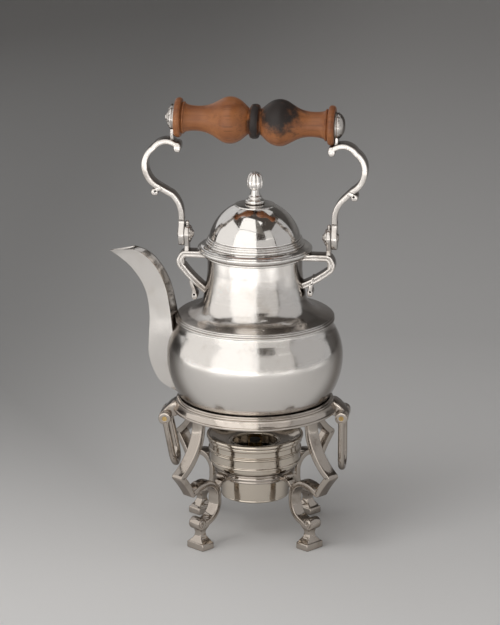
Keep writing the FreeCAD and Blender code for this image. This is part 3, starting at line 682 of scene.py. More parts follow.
# Under edge and upper edge of the spout, with its half width there, from tip to root.
SPOUT_SECTIONS = [
    ((-112.9, 222.0), (-88.7, 225.4), 5.9),
    ((-103.7, 215.3), (-82.6, 223.0), 6.4),
    ((-95.9, 208.4), (-76.2, 218.0), 7.0),
    ((-88.3, 198.0), (-69.2, 208.4), 7.8),
    ((-83.7, 186.0), (-64.0, 196.4), 8.8),
    ((-82.0, 170.5), (-60.4, 180.5), 10.2),
    ((-82.7, 155.0), (-57.5, 163.0), 11.8),
    ((-82.9, 141.0), (-55.0, 145.0), 13.0),
    ((-79.5, 128.5), (-53.0, 128.5), 13.4),
    ((-73.0, 118.0), (-49.0, 117.0), 12.0),
    ((-60.4, 110.6), (-42.0, 110.6), 9.0),
]
SPOUT_STATIONS = 120


def smooth_between(values, share):
    """Catmull-Rom through evenly spaced values; share runs from 0 to 1."""
    place_at = share * (len(values) - 1)
    i = min(int(place_at), len(values) - 2)
    t = place_at - i
    b, c = values[i], values[i + 1]
    a = values[i - 1] if i else 2 * b - c
    d = values[i + 2] if i + 2 < len(values) else 2 * c - b
    return 0.5 * (2 * b + (c - a) * t + (2 * a - 5 * b + 4 * c - d) * t * t
                  + (3 * b - a - 3 * c + d) * t ** 3)


def spout_ring(share, inset, soften):
    """One six-sided section of the spout, its corners a little rounded."""
    low = [smooth_between([s[0][j] for s in SPOUT_SECTIONS], share) for j in (0, 1)]
    high = [smooth_between([s[1][j] for s in SPOUT_SECTIONS], share) for j in (0, 1)]
    half = smooth_between([s[2] for s in SPOUT_SECTIONS], share) - inset * 0.9
    along = unit(high[0] - low[0], high[1] - low[1])
    depth = math.dist(low, high) - 2 * inset
    pinch = 0.22 + 0.5 * min(1.0, 2.5 * share)
    corners = [(0.0, 0.0), (0.13 * depth, half * pinch), (0.80 * depth, half), (depth, 0.0),
               (0.80 * depth, -half), (0.13 * depth, -half * pinch)]
    points = []
    for run, y in softened(corners, soften, closed=True, least=0.15):
        run += inset
        points.append(Vector((low[0] + along[0] * run, y, low[1] + along[1] * run)))
    return points


def body_radius(z):
    """Outside radius of the bowl at a height."""
    line = [p for p in BODY_LINE if p[1] > BASE_Z + 0.01]
    if z <= line[0][1]:
        return line[0][0]
    for (r0, z0), (r1, z1) in zip(line, line[1:]):
        if z0 <= z <= z1:
            return r0 + (r1 - r0) * (z - z0) / max(1e-6, z1 - z0)
    return line[-1][0]


def stopped_at_bowl(strand):
    """The strand up to where it runs into the bowl's wall; the rest stays at that point."""
    out = []
    stop = None
    for p in strand:
        if stop is None and out:
            depth = body_radius(p.z) - 0.6 - math.hypot(p.x, p.y)
            if depth > 0:
                q = out[-1]
                before = body_radius(q.z) - 0.6 - math.hypot(q.x, q.y)
                stop = q.lerp(p, -before / (depth - before))
        out.append(stop or p)
    return out


def spout():
    stations = [i / SPOUT_STATIONS for i in range(SPOUT_STATIONS + 1)]
    outer = [spout_ring(share, 0.0, 1.3) for share in stations]
    inner = [spout_ring(share, 1.0, 1.0) for share in stations]
    outer = list(zip(*[stopped_at_bowl(strand) for strand in zip(*outer)]))
    inner = list(zip(*[stopped_at_bowl(strand) for strand in zip(*inner)]))
    count = len(outer[0])
    rows = outer[::-1] + inner
    points = [p for row in rows for p in row]
    faces = []
    for i in range(len(rows)):
        j = (i + 1) % len(rows)
        for k in range(count):
            n = (k + 1) % count
            faces.append((i * count + k, i * count + n, j * count + n, j * count + k))
    piece = mesh_piece("spout_tube", moved(points, shift=AXIS), faces, KETTLE_SILVER, 24)
    place(piece, "kettle", "silver_kettle", "spout")


# ------------------------------------------------------------------ brackets and hinges

SIDES = ("left", "right")
BRACKET_TOP, BRACKET_DEPTH = 224.6, 5.0
PIVOT_Z = 237.3
EAR_X, EYE_X, ROSETTE_X = (52.7, 56.1), (56.4, 60.8), (49.2, 52.7)
HINGE_SHIFT = 2.4          # the hinges sit this far to the right of even
BRACKET_REACH = {"left": 59.4, "right": 61.6}
BRACKET_END_Z = {"left": 190.4, "right": 197.6}
BULB_PLACE = {"left": (46.2, 189.0), "right": (42.8, 194.0)}


def strap_section(thick, wide, radius=0.8, reed=0.0):
    section = rounded_section(thick, wide, radius, reed)
    return lambda share: section


def knob(name, place_xz, half_wide, half_high, width, material):
    """A plump rounded end across the strap, nearly an oval."""
    outline = []
    for i in range(36):
        angle = math.radians(10 * i)
        c, d = math.cos(angle), math.sin(angle)
        outline.append((place_xz[0] + half_wide * math.copysign(abs(c) ** 0.8, c),
                        place_xz[1] + half_high * math.copysign(abs(d) ** 0.8, d)))
    return prism(name, outline, -width / 2, width / 2, "Y", material, 0.9)


def bracket(side):
    flip = side == "left"
    sign = -1 if flip else 1
    top = BRACKET_TOP - BRACKET_DEPTH / 2
    reach, end_z = BRACKET_REACH[side], BRACKET_END_Z[side]
    slope = (215.4 - end_z) / (reach - 1.6 - 34.0)
    bar = sweep("part_bar", [(35.4, top), (reach - 8.0, top), (reach - 6.0, top), (reach - 3.5, 220.0, -0.3),
                             (reach - 2.2, 216.4, -0.15), (reach - 4.4, 211.6, -0.3),
                             (37.2, end_z + 3.2 * slope, -0.07)],
                strap_section(4.9, 12.0, 0.9, 0.5), HANDLE_SILVER, mirror=flip, soft=0.6)
    x, z = BULB_PLACE[side]
    stem = sweep("part_stem", [(x + 2.6, z + 12.5), (x + 0.9, z + 6.5, -0.1), (x + 0.2, z + 0.6, 0.1)],
                 lambda share: rounded_section(2.6 + 0.8 * share, 12.0, 0.8), HANDLE_SILVER, mirror=flip)
    drop = knob("part_drop", (sign * x, z + 0.2), 2.3, 2.8, 12.0, HANDLE_SILVER)
    knee_outline = [(reach - 5.6, 213.2), (reach - 1.0, 211.2), (reach - 0.5, 216.4), (reach - 2.6, 220.8),
                    (reach - 5.6, 221.8)]
    knee = prism("part_knee", [(sign * a, b) for a, b in knee_outline], -5.7, 5.7, "Y", HANDLE_SILVER, 0.8)
    piece = merge("bracket_" + side + "_strap", bar, stem, drop, knee)
    place(piece, "kettle", "silver_kettle", "bracket_" + side)


def shifted(piece):
    """Moved over to where the hinges are."""
    piece.data.transform(Matrix.Translation(Vector((HINGE_SHIFT, 0, 0)) * MM))
    return piece


def hinge(side):
    sign = -1 if side == "left" else 1
    low, high = sorted((sign * EAR_X[0], sign * EAR_X[1]))
    outline = []
    for y, z in circle(7.0, 0, PIVOT_Z, 44, -38, 218):
        outline.append((y, z))
    outline += [(-4.7, PIVOT_Z - 7.6), (-4.2, BRACKET_TOP + 3.0), (-5.4, BRACKET_TOP + 1.0),
                (-5.6, BRACKET_TOP - 0.3), (5.6, BRACKET_TOP - 0.3), (5.4, BRACKET_TOP + 1.0),
                (4.2, BRACKET_TOP + 3.0), (4.7, PIVOT_Z - 7.6)]
    plate = prism("part_plate", outline, low, high, "X", HANDLE_SILVER, 0.55)
    tip = lathe("part_tip", [(0.0, PIVOT_Z + 5.6), (1.7, PIVOT_Z + 5.8), (1.3, PIVOT_Z + 7.6, 0.1),
                             (1.5, PIVOT_Z + 8.6, 0.3), (0.9, PIVOT_Z + 9.8, 0.3), (0.2, PIVOT_Z + 10.3, 0.2),
                             (0.0, PIVOT_Z + 10.3)],
                HANDLE_SILVER, steps=32, step=0.3, soft=0.1)
    tip.data.transform(Matrix.Translation(Vector((sign * (EAR_X[0] + EAR_X[1]) / 2, 0, 0)) * MM))
    piece = shifted(merge("hinge_plate_" + side + "_ear", plate, tip))
    place(piece, "kettle", "silver_kettle", "hinge_plate_" + side)
    back = ROSETTE_X[1] - 0.05

    def petals(x, radius, angle):
        share = min(1.0, radius / 6.5)
        return radius * (1 - 0.10 * share * (0.5 - 0.5 * math.cos(8 * angle)) ** 2)

    rose = lathe_x("rosette_" + side + "_flower", [
        (back, 0.0), (back, 6.5), (back - 0.7, 6.5, -0.3), (back - 1.3, 5.6, -0.3), (back - 1.2, 4.5, 0.4),
        (back - 2.1, 4.0, -0.4), (back - 2.3, 2.9, 0.1), (back - 2.9, 2.4, -0.4), (back - 3.3, 1.0, -0.3),
        (back - 3.4, 0.0),
    ], PIVOT_Z, HANDLE_SILVER, reshape=petals, mirror=side == "left", step=0.25, soft=0.1)
    place(shifted(rose), "kettle", "silver_kettle", "rosette_" + side)


# ------------------------------------------------------------------ lid

FLANGE_Z, STEP_Z, FINIAL_Z, FINIAL_TOP = (226.0, 231.2), 236.3, 262.5, 287.3
BEZEL_RADIUS = 34.6


def lid():
    low, high = FLANGE_Z
    flange = lathe("lid_brim", [
        (BEZEL_RADIUS, low), (43.3, low), (43.9, low + 0.7, 0.3), (43.9, low + 1.7, 0.1),
        (43.3, low + 2.4, 0.4), (42.7, low + 2.6, -0.3), (42.5, low + 3.1, 0.3), (41.7, low + 3.5, 0.3),
        (40.9, low + 3.7, -0.2), (39.2, high - 0.2, -0.12), (38.2, high), (BEZEL_RADIUS, high),
    ], LID_SILVER, soft=0.15, step=0.3, wobble=0.08)
    place(flange, "lid", "silver_lid", "lid_flange")
    low = FLANGE_Z[1]
    step_ring = lathe("lid_bands", [
        (33.9, low), (37.4, low), (37.7, low + 0.9, 0.5), (37.1, low + 1.9, 0.4), (36.5, low + 2.2, -0.3),
        (36.7, low + 2.8, 0.4), (36.4, low + 3.4, 0.3), (35.9, low + 3.7, -0.3), (36.1, low + 4.3, 0.4),
        (35.3, STEP_Z, 0.3), (33.9, STEP_Z),
    ], LID_SILVER, soft=0.12, step=0.25)
    place(step_ring, "lid", "silver_lid", "lid_step_ring")
    dome = lathe("lid_shell", sheet_outline([
        (34.9, STEP_Z), (34.9, STEP_Z + 0.8), (15.4, 261.1, 0.235), (15.3, 261.8), (14.4, 262.0, 0.2),
        (6.0, FINIAL_Z, 0.05), (0.0, FINIAL_Z),
    ], SHEET, 0.5), LID_SILVER, soft=0.2, step=0.5, wobble=0.14)
    place(dome, "lid", "silver_lid", "lid_dome")
    z = FINIAL_Z

    def lobes(radius, height, angle):
        rise = (height - z - 12.0) / (FINIAL_TOP - z - 12.0)
        if rise <= 0 or rise >= 1:
            return radius
        depth = 0.17 * math.sin(math.pi * min(1.0, rise * 0.9 + 0.12)) ** 0.5
        groove = abs(math.cos(4 * angle))
        return radius * (1 - depth * (1 - groove) ** 2.0)

    knob = lathe("finial_bud", [
        (0.0, z - 5.4), (1.5, z - 5.4), (1.5, z - 0.2), (6.0, z - 0.1), (7.5, z + 1.5, 0.45),
        (6.4, z + 3.3, 0.4), (5.0, z + 3.9, -0.25), (4.9, z + 4.5), (5.3, z + 5.2, 0.5),
        (4.6, z + 6.0, 0.4), (3.7, z + 7.6, -0.15), (3.2, z + 10.0, -0.08), (3.5, z + 11.6, -0.1),
        (4.3, z + 12.0), (5.5, z + 12.3, 0.3), (6.2, z + 15.6, 0.1), (5.9, z + 19.4, 0.08),
        (4.3, z + 23.0, 0.14), (2.2, z + 24.3, 0.2), (1.2, z + 24.2, 0.1), (0.9, z + 24.5, 0.2),
        (0.3, FINIAL_TOP, 0.2), (0.0, FINIAL_TOP),
    ], LID_SILVER, soft=0.1, step=0.3, reshape=lobes, steps=160, sharp=40)
    place(knob, "lid", "silver_lid", "finial")


# ------------------------------------------------------------------ swing handle

ARM_FOOT = {"left": 56.2, "right": 61.0}
WASHER_THICKNESS, WASHER_RADIUS = 2.7, 10.6
CAP_RADIUS, CAP_RISE = 9.3, 4.6
GAP = 0.3


def arm_path(side):
    """From under the grip, over the arch and down to the hinge."""
    foot = ARM_FOOT[side]
    return [
        (58.9, 306.4),
        (77.2, 304.4, -0.48),
        (84.0, 290.5, -0.26),
        (74.8, 274.8, -0.26),
        (foot + 7.2, 268.4),
        (foot, 252.5, 0.2),
        (foot, 249.0),
    ]


def arm_section(share):
    """Wide and thick at the arch, narrow at the foot."""
    wide = 13.2 - 4.4 * max(0.0, share - 0.45) / 0.55
    thick = 4.0 + 0.35 * math.sin(math.pi * share)
    return rounded_section(thick, wide, 0.85)


def tilted(piece):
    """Turned with the grip, which is not quite level."""
    pivot = Matrix.Translation((AXIS + Vector((0, 0, GRIP_Z))) * MM)
    piece.data.transform(pivot @ Matrix.Rotation(math.radians(GRIP_TILT), 4, "Y") @ pivot.inverted())
    return piece


def hinge_eye(side):
    """Eye plate at the foot of the arm, waisted above into a narrow neck."""
    sign = -1 if side == "left" else 1
    low, high = sorted((sign * EYE_X[0], sign * EYE_X[1]))
    edge = [(0.0, -9.0), (3.0, -8.8), (4.7, -7.4), (5.9, -3.4), (6.2, 0.8), (5.2, 4.4), (3.4, 6.8), (2.9, 8.6),
            (2.9, 10.6), (4.2, 11.4), (4.2, 12.4)]
    outline = [(y, PIVOT_Z + z) for y, z in edge] + [(-y, PIVOT_Z + z) for y, z in edge[:0:-1]]
    return shifted(prism("part_eye", outline, low, high, "X", HANDLE_SILVER, 0.6))


def bail_arm(side):
    flip = side == "left"
    sign = -1 if flip else 1
    strip = sweep("part_strip", arm_path(side), arm_section, HANDLE_SILVER, mirror=flip, soft=0.8)
    roll = knob("part_roll", (sign * 58.8, 305.6), 2.7, 3.9, 13.3, HANDLE_SILVER)
    spur = knob("part_spur", (sign * 76.3, 270.2), 2.7, 2.7, 12.6, HANDLE_SILVER)
    root = sweep("part_root", [(71.4, 273.6), (74.4, 272.6, 0.1), (76.5, 270.6, 0.15)],
                 lambda share: rounded_section(3.8 - share, 12.6, 0.7), HANDLE_SILVER, mirror=flip)
    base = GRIP_HALF + GAP
    disc = lathe_x("part_ear", [
        (base, 0.0), (base, WASHER_RADIUS), (base + 0.5, WASHER_RADIUS, 0.0), (base + 1.3, WASHER_RADIUS - 0.7, -0.3),
        (base + WASHER_THICKNESS, WASHER_RADIUS - 0.5, 0.2), (base + WASHER_THICKNESS, 0.0),
    ], GRIP_Z, HANDLE_SILVER, mirror=flip, step=0.3, soft=0.25)
    low, high = sorted((sign * base, sign * (base + WASHER_THICKNESS)))
    neck = prism("part_neck", [(-4.4, 308.0), (4.4, 308.0), (4.9, 312.0), (5.6, GRIP_Z - 7), (-5.6, GRIP_Z - 7),
                               (-4.9, 312.0)], low, high, "X", HANDLE_SILVER, 0.6)
    piece = merge("bail_arm_" + side + "_scroll", strip, roll, spur, root, hinge_eye(side), tilted(disc),
                  tilted(neck))
    place(piece, "bail", "silver_handle", "bail_arm_" + side)


def rod_cap(side):
    """Riveted cap over the end of the rod; the left one is worked as a flower."""
    base = GRIP_HALF + GAP + WASHER_THICKNESS - 0.1
    flip = side == "left"

    def flower(x, radius, angle):
        share = radius / CAP_RADIUS
        return radius * (1 - 0.13 * share * (1 - abs(math.cos(4 * angle))) ** 1.5)

    if flip:
        outline = [(base, 0.0), (base, CAP_RADIUS), (base + 0.8, CAP_RADIUS, -0.2), (base + 1.9, 7.6, -0.3),
                   (base + 1.7, 5.6, 0.4), (base + 2.9, 4.9, -0.4), (base + 3.1, 3.4, 0.2),
                   (base + 4.4, 2.4, -0.35), (base + CAP_RISE, 0.6, -0.2), (base + CAP_RISE, 0.0)]
    else:
        outline = [(base, 0.0), (base, CAP_RADIUS), (base + 1.0, CAP_RADIUS, 0.1),
                   (base + CAP_RISE, 0.8, 0.25), (base + CAP_RISE, 0.0)]
    cap = lathe_x("rod_cap_" + side + "_button", outline, GRIP_Z, HANDLE_SILVER,
                  reshape=flower if flip else None, mirror=flip, step=0.3, soft=0.15)
    place(tilted(cap), "bail", "silver_handle", "rod_cap_" + side)


# Radius of the wooden grip from its middle outwards, as (place, radius), joined smoothly.
BULB = [(4.6, 9.9), (7.0, 12.0), (10.5, 15.0), (14.5, 17.1), (19.0, 17.9), (23.5, 17.0), (28.0, 14.6),
        (32.5, 12.1), (37.0, 10.4), (42.0, 9.6), (47.0, 9.6), (51.0, 10.2), (53.4, 11.2)]
GRIP_END = [(53.6, 11.9), (54.5, 12.3, 0.4), (55.2, 11.7, 0.3), (55.6, 11.5), (55.9, 13.4), (56.6, 14.8, 0.3),
            (58.3, 15.2, 0.1), (60.0, 14.7, 0.15), (GRIP_HALF, 13.4, 0.3), (GRIP_HALF, 0.0)]


def grip():
    bulb = []
    for i in range(97):
        share = i / 96
        bulb.append((smooth_between([p[0] for p in BULB], share), smooth_between([p[1] for p in BULB], share)))
    end = [(x, r) for r, x in traced([(p[1], p[0], *p[2:]) for p in GRIP_END], 0.4)]
    bead = [(x, r) for r, x in traced([(13.3, 0.0), (12.9, 2.2, 0.12), (11.6, 3.4, 0.3), (10.4, 3.8)], 0.3)]
    points = bead + bulb + end
    outline = [(-x, r) for x, r in points[::-1]] + points[1:]
    piece = lathe_x("wooden_grip", outline, GRIP_Z, WOOD, steps=128, soft=0.2, sharp=36, closed=False)
    place(tilted(piece), "bail", "grip_wood", "grip")


# ------------------------------------------------------------------ stand

RING_INNER, RING_OUTER, RING_Z = 57.2, 63.4, (100.3, 109.3)
LEDGE_RADIUS, SEAT_Z = 52.0, 103.0
LEGS = {"back_right": 45.0, "back_left": 135.0, "front_left": 225.0, "front_right": 315.0}
LEG_WIDTH, LEG_THICKNESS = 10.4, 4.6
FOOT_CENTRE = 59.3


def stand_ring():
    low, high = RING_Z
    piece = lathe("gallery_ring", [
        (LEDGE_RADIUS, low), (62.6, low), (63.3, low + 0.8, 0.4), (63.2, low + 1.7, 0.3),
        (62.6, low + 2.1, 0.2), (62.2, low + 2.5, -0.3), (61.3, low + 4.6, -0.06), (60.9, high - 2.3, -0.06),
        (60.9, high - 1.9, 0.3), (60.3, high - 1.6, 0.2), (60.5, high - 0.9, 0.4), (59.7, high - 0.1, 0.3),
        (59.1, high), (58.8, high + 0.4), (58.3, high + 0.9, 0.4), (57.8, high + 0.4, 0.4),
        (57.4, high - 0.3), (RING_INNER, high - 1.2), (RING_INNER, SEAT_Z),
        (LEDGE_RADIUS, SEAT_Z),
    ], STAND_SILVER, soft=0.15, step=0.35, wobble=0.12)
    place(piece, "stand", "silver_stand", "stand_ring")


LEG_PATH = [
    (60.4, RING_Z[0] + 0.2),
    (61.9, 89.5, 0.05),
    (82.2, 62.2, 0.17),
    (70.9, 46.6, 0.05),
    (58.6, 51.0, 0.1),
    (43.6, 37.2, 0.52),
    (54.4, 20.6, 0.37),
    (61.6, 17.6, 0.12),
]


def leg_section(share):
    thick = LEG_THICKNESS + 0.6 * math.sin(math.pi * min(1.0, share * 2.2)) - 0.5 * max(0.0, share - 0.7) / 0.3
    return rounded_section(thick, LEG_WIDTH, 0.9)


def foot_pad(turn):
    """Waisted block and square pad under the scroll, lofted as one piece."""
    levels = [(0.0, 5.7, 8.3), (0.4, 6.0, 8.7), (4.6, 6.0, 8.7), (5.2, 5.8, 8.4), (5.6, 5.2, 7.4), (6.8, 5.0, 6.4),
              (8.0, 4.3, 4.9), (10.0, 3.4, 3.5), (12.6, 3.1, 3.0), (14.6, 3.4, 3.4), (16.4, 4.2, 4.5),
              (17.6, 4.7, 5.0), (19.6, 4.8, 5.0)]
    points, faces = [], []
    for z, out, wide in levels:
        corners = softened([(out, wide), (-out, wide), (-out, -wide), (out, -wide)], 0.8, True, 0.2)
        points += [Vector((FOOT_CENTRE + a, b, z)) for a, b in corners]
    count = len(points) // len(levels)
    for i in range(len(levels) - 1):
        for k in range(count):
            n = (k + 1) % count
            faces.append((i * count + k, i * count + n, (i + 1) * count + n, (i + 1) * count + k))
    faces.append(tuple(range(count)))
    faces.append(tuple((len(levels) - 1) * count + k for k in range(count)))
    return mesh_piece("part_pad", moved(points, turn, AXIS), faces, LEG_SILVER, 34)


def leg(name, degrees):
    turn = degrees + STAND_TURN
    bar = sweep("part_bar", LEG_PATH, leg_section, LEG_SILVER, turn=turn, soft=1.2, sharp=28)
    scroll = volute("part_scroll", (61.8, 20.4), 4.9, LEG_WIDTH, LEG_SILVER, turn=turn, sense=1)
    piece = merge("leg_" + name + "_scroll", bar, scroll, foot_pad(turn))
    place(piece, "stand", "silver_stand", "leg_" + name)


def lamp_bracket(name, degrees):
    turn = degrees + STAND_TURN
    bar = sweep("part_bar", [(29.6, 49.9), (34.0, 50.4, 0.1), (39.0, 48.6, 0.1), (42.6, 45.2, 0.1)],
                strap_section(2.8, 7.0, 0.6), LEG_SILVER, turn=turn)
    roll = volute("part_roll", (36.6, 52.3), 2.4, 7.0, LEG_SILVER, turn=turn)
    piece = merge("lamp_bracket_" + name + "_strap", bar, roll)
    place(piece, "stand", "silver_stand", "lamp_bracket_" + name)


def lamp_cradle():
    low, high = 46.6, 53.3
    piece = lathe("cradle_ring", [
        (27.3, low), (29.4, low), (30.2, low + 0.8, 0.4), (29.9, low + 1.7, 0.3), (29.9, low + 2.3, -0.2),
        (30.9, low + 3.2, 0.3), (30.9, low + 4.4, 0.4), (30.1, low + 5.2, 0.3), (30.0, low + 5.8, -0.2),
        (30.2, low + 6.2, 0.3), (29.6, high, 0.3), (27.3, high),
    ], STAND_SILVER, soft=0.12, step=0.25)
    place(piece, "stand", "silver_stand", "lamp_cradle")


KNUCKLE_RADIUS, KNUCKLE_LENGTH, DROP_EYE = 5.2, 19.0, 3.7
DROP_LENGTH = {"left": 39.0, "right": 42.5}
DROP_LEAN = {"left": -11.0, "right": 0.0}


def knuckle_centre(side):
    """Middle of the drop handle's pin."""
    low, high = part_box("drop_pin_" + side)
    return (low + high) / 2 / MM - AXIS


def knuckle(side):
    centre_at = knuckle_centre(side)
    half = KNUCKLE_LENGTH / 2
    r = KNUCKLE_RADIUS
    barrel = lathe_y("part_barrel", [
        (-half, 0.0), (-half, r - 0.3), (-half + 0.5, r, 0.3), (-half + 2.4, r, 0.0), (-half + 2.9, r - 0.5, 0.3),
        (-half + 3.6, r - 0.5), (-half + 4.1, r - 0.1, 0.3), (half - 4.1, r - 0.1), (half - 3.6, r - 0.5, 0.3),
        (half - 2.9, r - 0.5), (half - 2.4, r, 0.3), (half - 0.5, r), (half, r - 0.3, 0.3), (half, 0.0),
    ], centre_at, LEG_SILVER)
    sign = 1 if side == "right" else -1
    x, z = centre_at.x, centre_at.z
    cheek = [(x - sign * 9.0, z + 1.0), (x, z - 1.0), (x + sign * 3.4, z + 3.4), (x + sign * 1.2, z + 6.0),
             (x - sign * 2.4, z + 9.6), (x - sign * 5.6, RING_Z[1] - 2.9), (x - sign * 9.0, RING_Z[1] - 2.5)]
    web = prism("part_web", cheek, centre_at.y - half + 1.5, centre_at.y + half - 1.5, "Y", LEG_SILVER, 0.9)
    piece = merge("knuckle_" + side + "_barrel", barrel, web)
    place(piece, "stand", "silver_stand", "knuckle_" + side)


def tube(name, path, radius_at, material, steps=28):
    """A round wire along a path in space."""
    points, faces = [], []
    for i, p in enumerate(path):
        before = path[max(0, i - 1)]
        after = path[min(len(path) - 1, i + 1)]
        along = (after - before).normalized()
        side = Vector((1, 0, 0))
        up = along.cross(side).normalized()
        radius = radius_at(i / (len(path) - 1))
        for k in range(steps):
            angle = 2 * math.pi * k / steps
            points.append(p + side * radius * math.cos(angle) + up * radius * math.sin(angle))
    for i in range(len(path) - 1):
        for k in range(steps):
            n = (k + 1) % steps
            faces.append((i * steps + k, i * steps + n, (i + 1) * steps + n, (i + 1) * steps + k))
    faces.append(tuple(range(steps)))
    faces.append(tuple((len(path) - 1) * steps + k for k in range(steps)))
    return mesh_piece(name, points, faces, material, 40)


def drop_handle(side):
    """D-shaped drop that hangs from the knuckle, a little thicker at its bottom."""
    centre_at = knuckle_centre(side)
    near = KNUCKLE_LENGTH / 2 + GAP
    middle = near + DROP_EYE / 2
    bottom = DROP_LENGTH[side]
    bend = bottom - middle * 0.75
    path = []
    for i in range(12):
        path.append(Vector((0, -middle, -3.0 - (bend - 3.0) * i / 12)))
    rise = bottom - bend
    radius = (middle * middle + rise * rise) / (2 * rise)
    reach = math.asin(min(1.0, middle / radius))
    for i in range(41):
        angle = -reach + 2 * reach * i / 40
        path.append(Vector((0, radius * math.sin(angle), -bottom + radius - radius * math.cos(angle))))
    for i in range(1, 13):
        path.append(Vector((0, middle, -bend + (bend - 3.0) * i / 12)))
    wire = tube("part_wire", path, lambda share: 2.45 + 0.3 * math.sin(math.pi * share) ** 2, LEG_SILVER)
    eyes = []
    for low in (-near - DROP_EYE, near):
        eyes.append(lathe_y("part_eye", [
            (low, 1.9), (low, 4.1), (low + 0.7, 4.9, 0.3), (low + DROP_EYE - 0.7, 4.9), (low + DROP_EYE, 4.1, 0.3),
            (low + DROP_EYE, 1.9),
        ], Vector((0, 0, 0)), LEG_SILVER, steps=56))
        eyes[-1].data.transform(Matrix.Translation(-AXIS * MM))
    piece = merge("drop_handle_" + side + "_loop", wire, *eyes)
    lean = Matrix.Rotation(math.radians(DROP_LEAN[side]), 4, "Y")
    shift = Matrix.Translation((centre_at + AXIS) * MM)
    piece.data.transform(shift @ lean)
    place(piece, "drop_" + side, "silver_stand", "drop_handle_" + side)


# ------------------------------------------------------------------ spirit lamp

CUP_RADIUS, CUP_Z = 26.8, (29.8, 53.6)
DRUM_RADIUS, DRUM_Z = 35.2, (58.4, 76.4)
COVER_RADIUS, COVER_HOLE, COVER_DISH = 37.4, 17.0, 4.4


def lamp():
    cup = lathe("lamp_reservoir", sheet_outline([
        (0.0, CUP_Z[0]), (24.6, CUP_Z[0]), (25.6, CUP_Z[0] + 0.3, 0.15), (26.3, CUP_Z[0] + 1.2, 0.2),
        (26.1, CUP_Z[0] + 2.0), (26.3, CUP_Z[0] + 2.6, 0.3), (CUP_RADIUS, CUP_Z[1] - 3.0), (CUP_RADIUS, CUP_Z[1]),
        (31.6, CUP_Z[1] + 0.6), (33.4, DRUM_Z[0] - 1.8, 0.3), (33.4, DRUM_Z[0]),
    ], SHEET, 0.4), LAMP_SILVER, soft=0.2, step=0.4, wobble=0.08)
    place(cup, "lamp", "silver_lamp", "lamp_cup")
    low, high = DRUM_Z
    drum = lathe("lamp_gallery", [
        (33.4, low), (35.4, low + 0.3), (35.9, low + 1.2, 0.4), (35.5, low + 2.2, 0.3), (35.2, low + 2.6, -0.2),
        (DRUM_RADIUS, low + 7.9), (35.9, low + 8.5, -0.1), (36.0, low + 9.2, 0.4), (35.5, low + 9.8, 0.3),
        (35.9, low + 10.3, 0.3), (35.5, low + 10.9, 0.4), (DRUM_RADIUS, low + 11.2), (DRUM_RADIUS, low + 14.8),
        (36.2, low + 15.6, -0.2), (36.2, high - 0.3, 0.1), (35.9, high, 0.2), (33.8, high),
        (33.8, low + 1.4), (31.9, low),
    ], LAMP_SILVER, soft=0.15, step=0.3, wobble=0.08)
    place(drum, "lamp", "silver_lamp", "lamp_drum")
    low = DRUM_Z[1] + GAP
    cover = lathe("lamp_dished_cover", [
        (COVER_HOLE, low - COVER_DISH), (COVER_HOLE + 1.2, low - COVER_DISH - 0.4, 0.3), (33.2, low, 0.12),
        (COVER_RADIUS - 0.6, low), (COVER_RADIUS, low + 0.9, 0.3), (COVER_RADIUS, low + 1.8, 0.2),
        (COVER_RADIUS - 0.9, low + 2.9, 0.4), (COVER_RADIUS - 2.0, low + 2.8, 0.3),
        (35.0, low + 1.7, -0.2), (33.6, low + 1.2), (COVER_HOLE + 3.2, low - COVER_DISH + 1.3, -0.12),
        (COVER_HOLE + 1.4, low - COVER_DISH + 1.5, 0.3), (COVER_HOLE + 0.2, low - COVER_DISH + 0.9, 0.3),
    ], LAMP_SILVER, soft=0.12, step=0.3, wobble=0.06)
    place(cover, "lamp_cover", "silver_lamp", "lamp_cover")


def finish_cad_nodes():
    """Pieces whose CAD shape is kept, with their own finishes."""
    finishes = {
        "finial_nut": LID_SILVER, "lid_bezel": LID_SILVER, "grip_rod": IRON,
        "lamp_wick": WICK, "lamp_wick_tube": BRASS, "lamp_lid_plate": LAMP_SILVER,
        "hinge_pin_left": HANDLE_SILVER, "hinge_pin_right": HANDLE_SILVER,
        "drop_pin_left": BRASS, "drop_pin_right": BRASS,
    }
    for node, finish in finishes.items():
        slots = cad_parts[node].data.materials
        for i in range(len(slots)):
            slots[i] = finish


# ------------------------------------------------------------------ stage, lights, camera

def stage():
    """A pale sweep: floor that curves up into the backdrop."""
    profile = [(-7.0, 0.0), (2.2, 0.0), (4.2, 2.0, -0.414), (4.2, 6.5)]
    line = traced(profile, 0.08)
    points = [Vector((x, y, z)) / MM for y, z in line for x in (-8.0, 8.0)]
    faces = [(2 * i, 2 * i + 1, 2 * i + 3, 2 * i + 2) for i in range(len(line) - 1)]
    sweep_sheet = mesh_piece("studio_sweep", points, faces, backdrop_paint(), 60)


def backdrop_paint():
    """Graduated paper with painted light: a painted pool of light under the object, painted shade towards the back
    and the left.
    """
    n = Nodes("studio_paper")
    parts = n.add("SeparateXYZ", links={"Vector": n.place})
    near = n.span(parts.outputs["Y"], -0.45, 0.55, 0.0, 1.0, smooth=False)
    far = n.span(parts.outputs["Y"], 0.55, 2.2, 0.0, 1.0, smooth=False)
    shade = n.blend(near, (0.84, 0.84, 0.84), (0.54, 0.54, 0.54))
    shade = n.blend(far, shade, (0.52, 0.52, 0.52))
    left = n.blend(far, (0.32, 0.32, 0.32), (0.39, 0.39, 0.39))
    # Painted shade: the paper goes to the darker left colour towards the left side and the back.
    painted_left_shade = n.span(parts.outputs["X"], -0.34, 0.02, 0.0, 1.0)
    painted_left_shade = n.sums("MAXIMUM", painted_left_shade, n.span(parts.outputs["Y"], -0.15, 0.5, 1.0, 0.0))
    shade = n.blend(painted_left_shade, left, shade)
    n.shine(Base_Color=shade, Roughness=0.85)
    n.shine(Specular_IOR_Level=0.15)
    return n.material


CAMERA_TURN, CAMERA_TILT = 7.0, 16.2
CAMERA_REACH = 2.6845
TARGET = Vector((AX, 0.0, 0.176))
AIM_LEFT = 0.0038


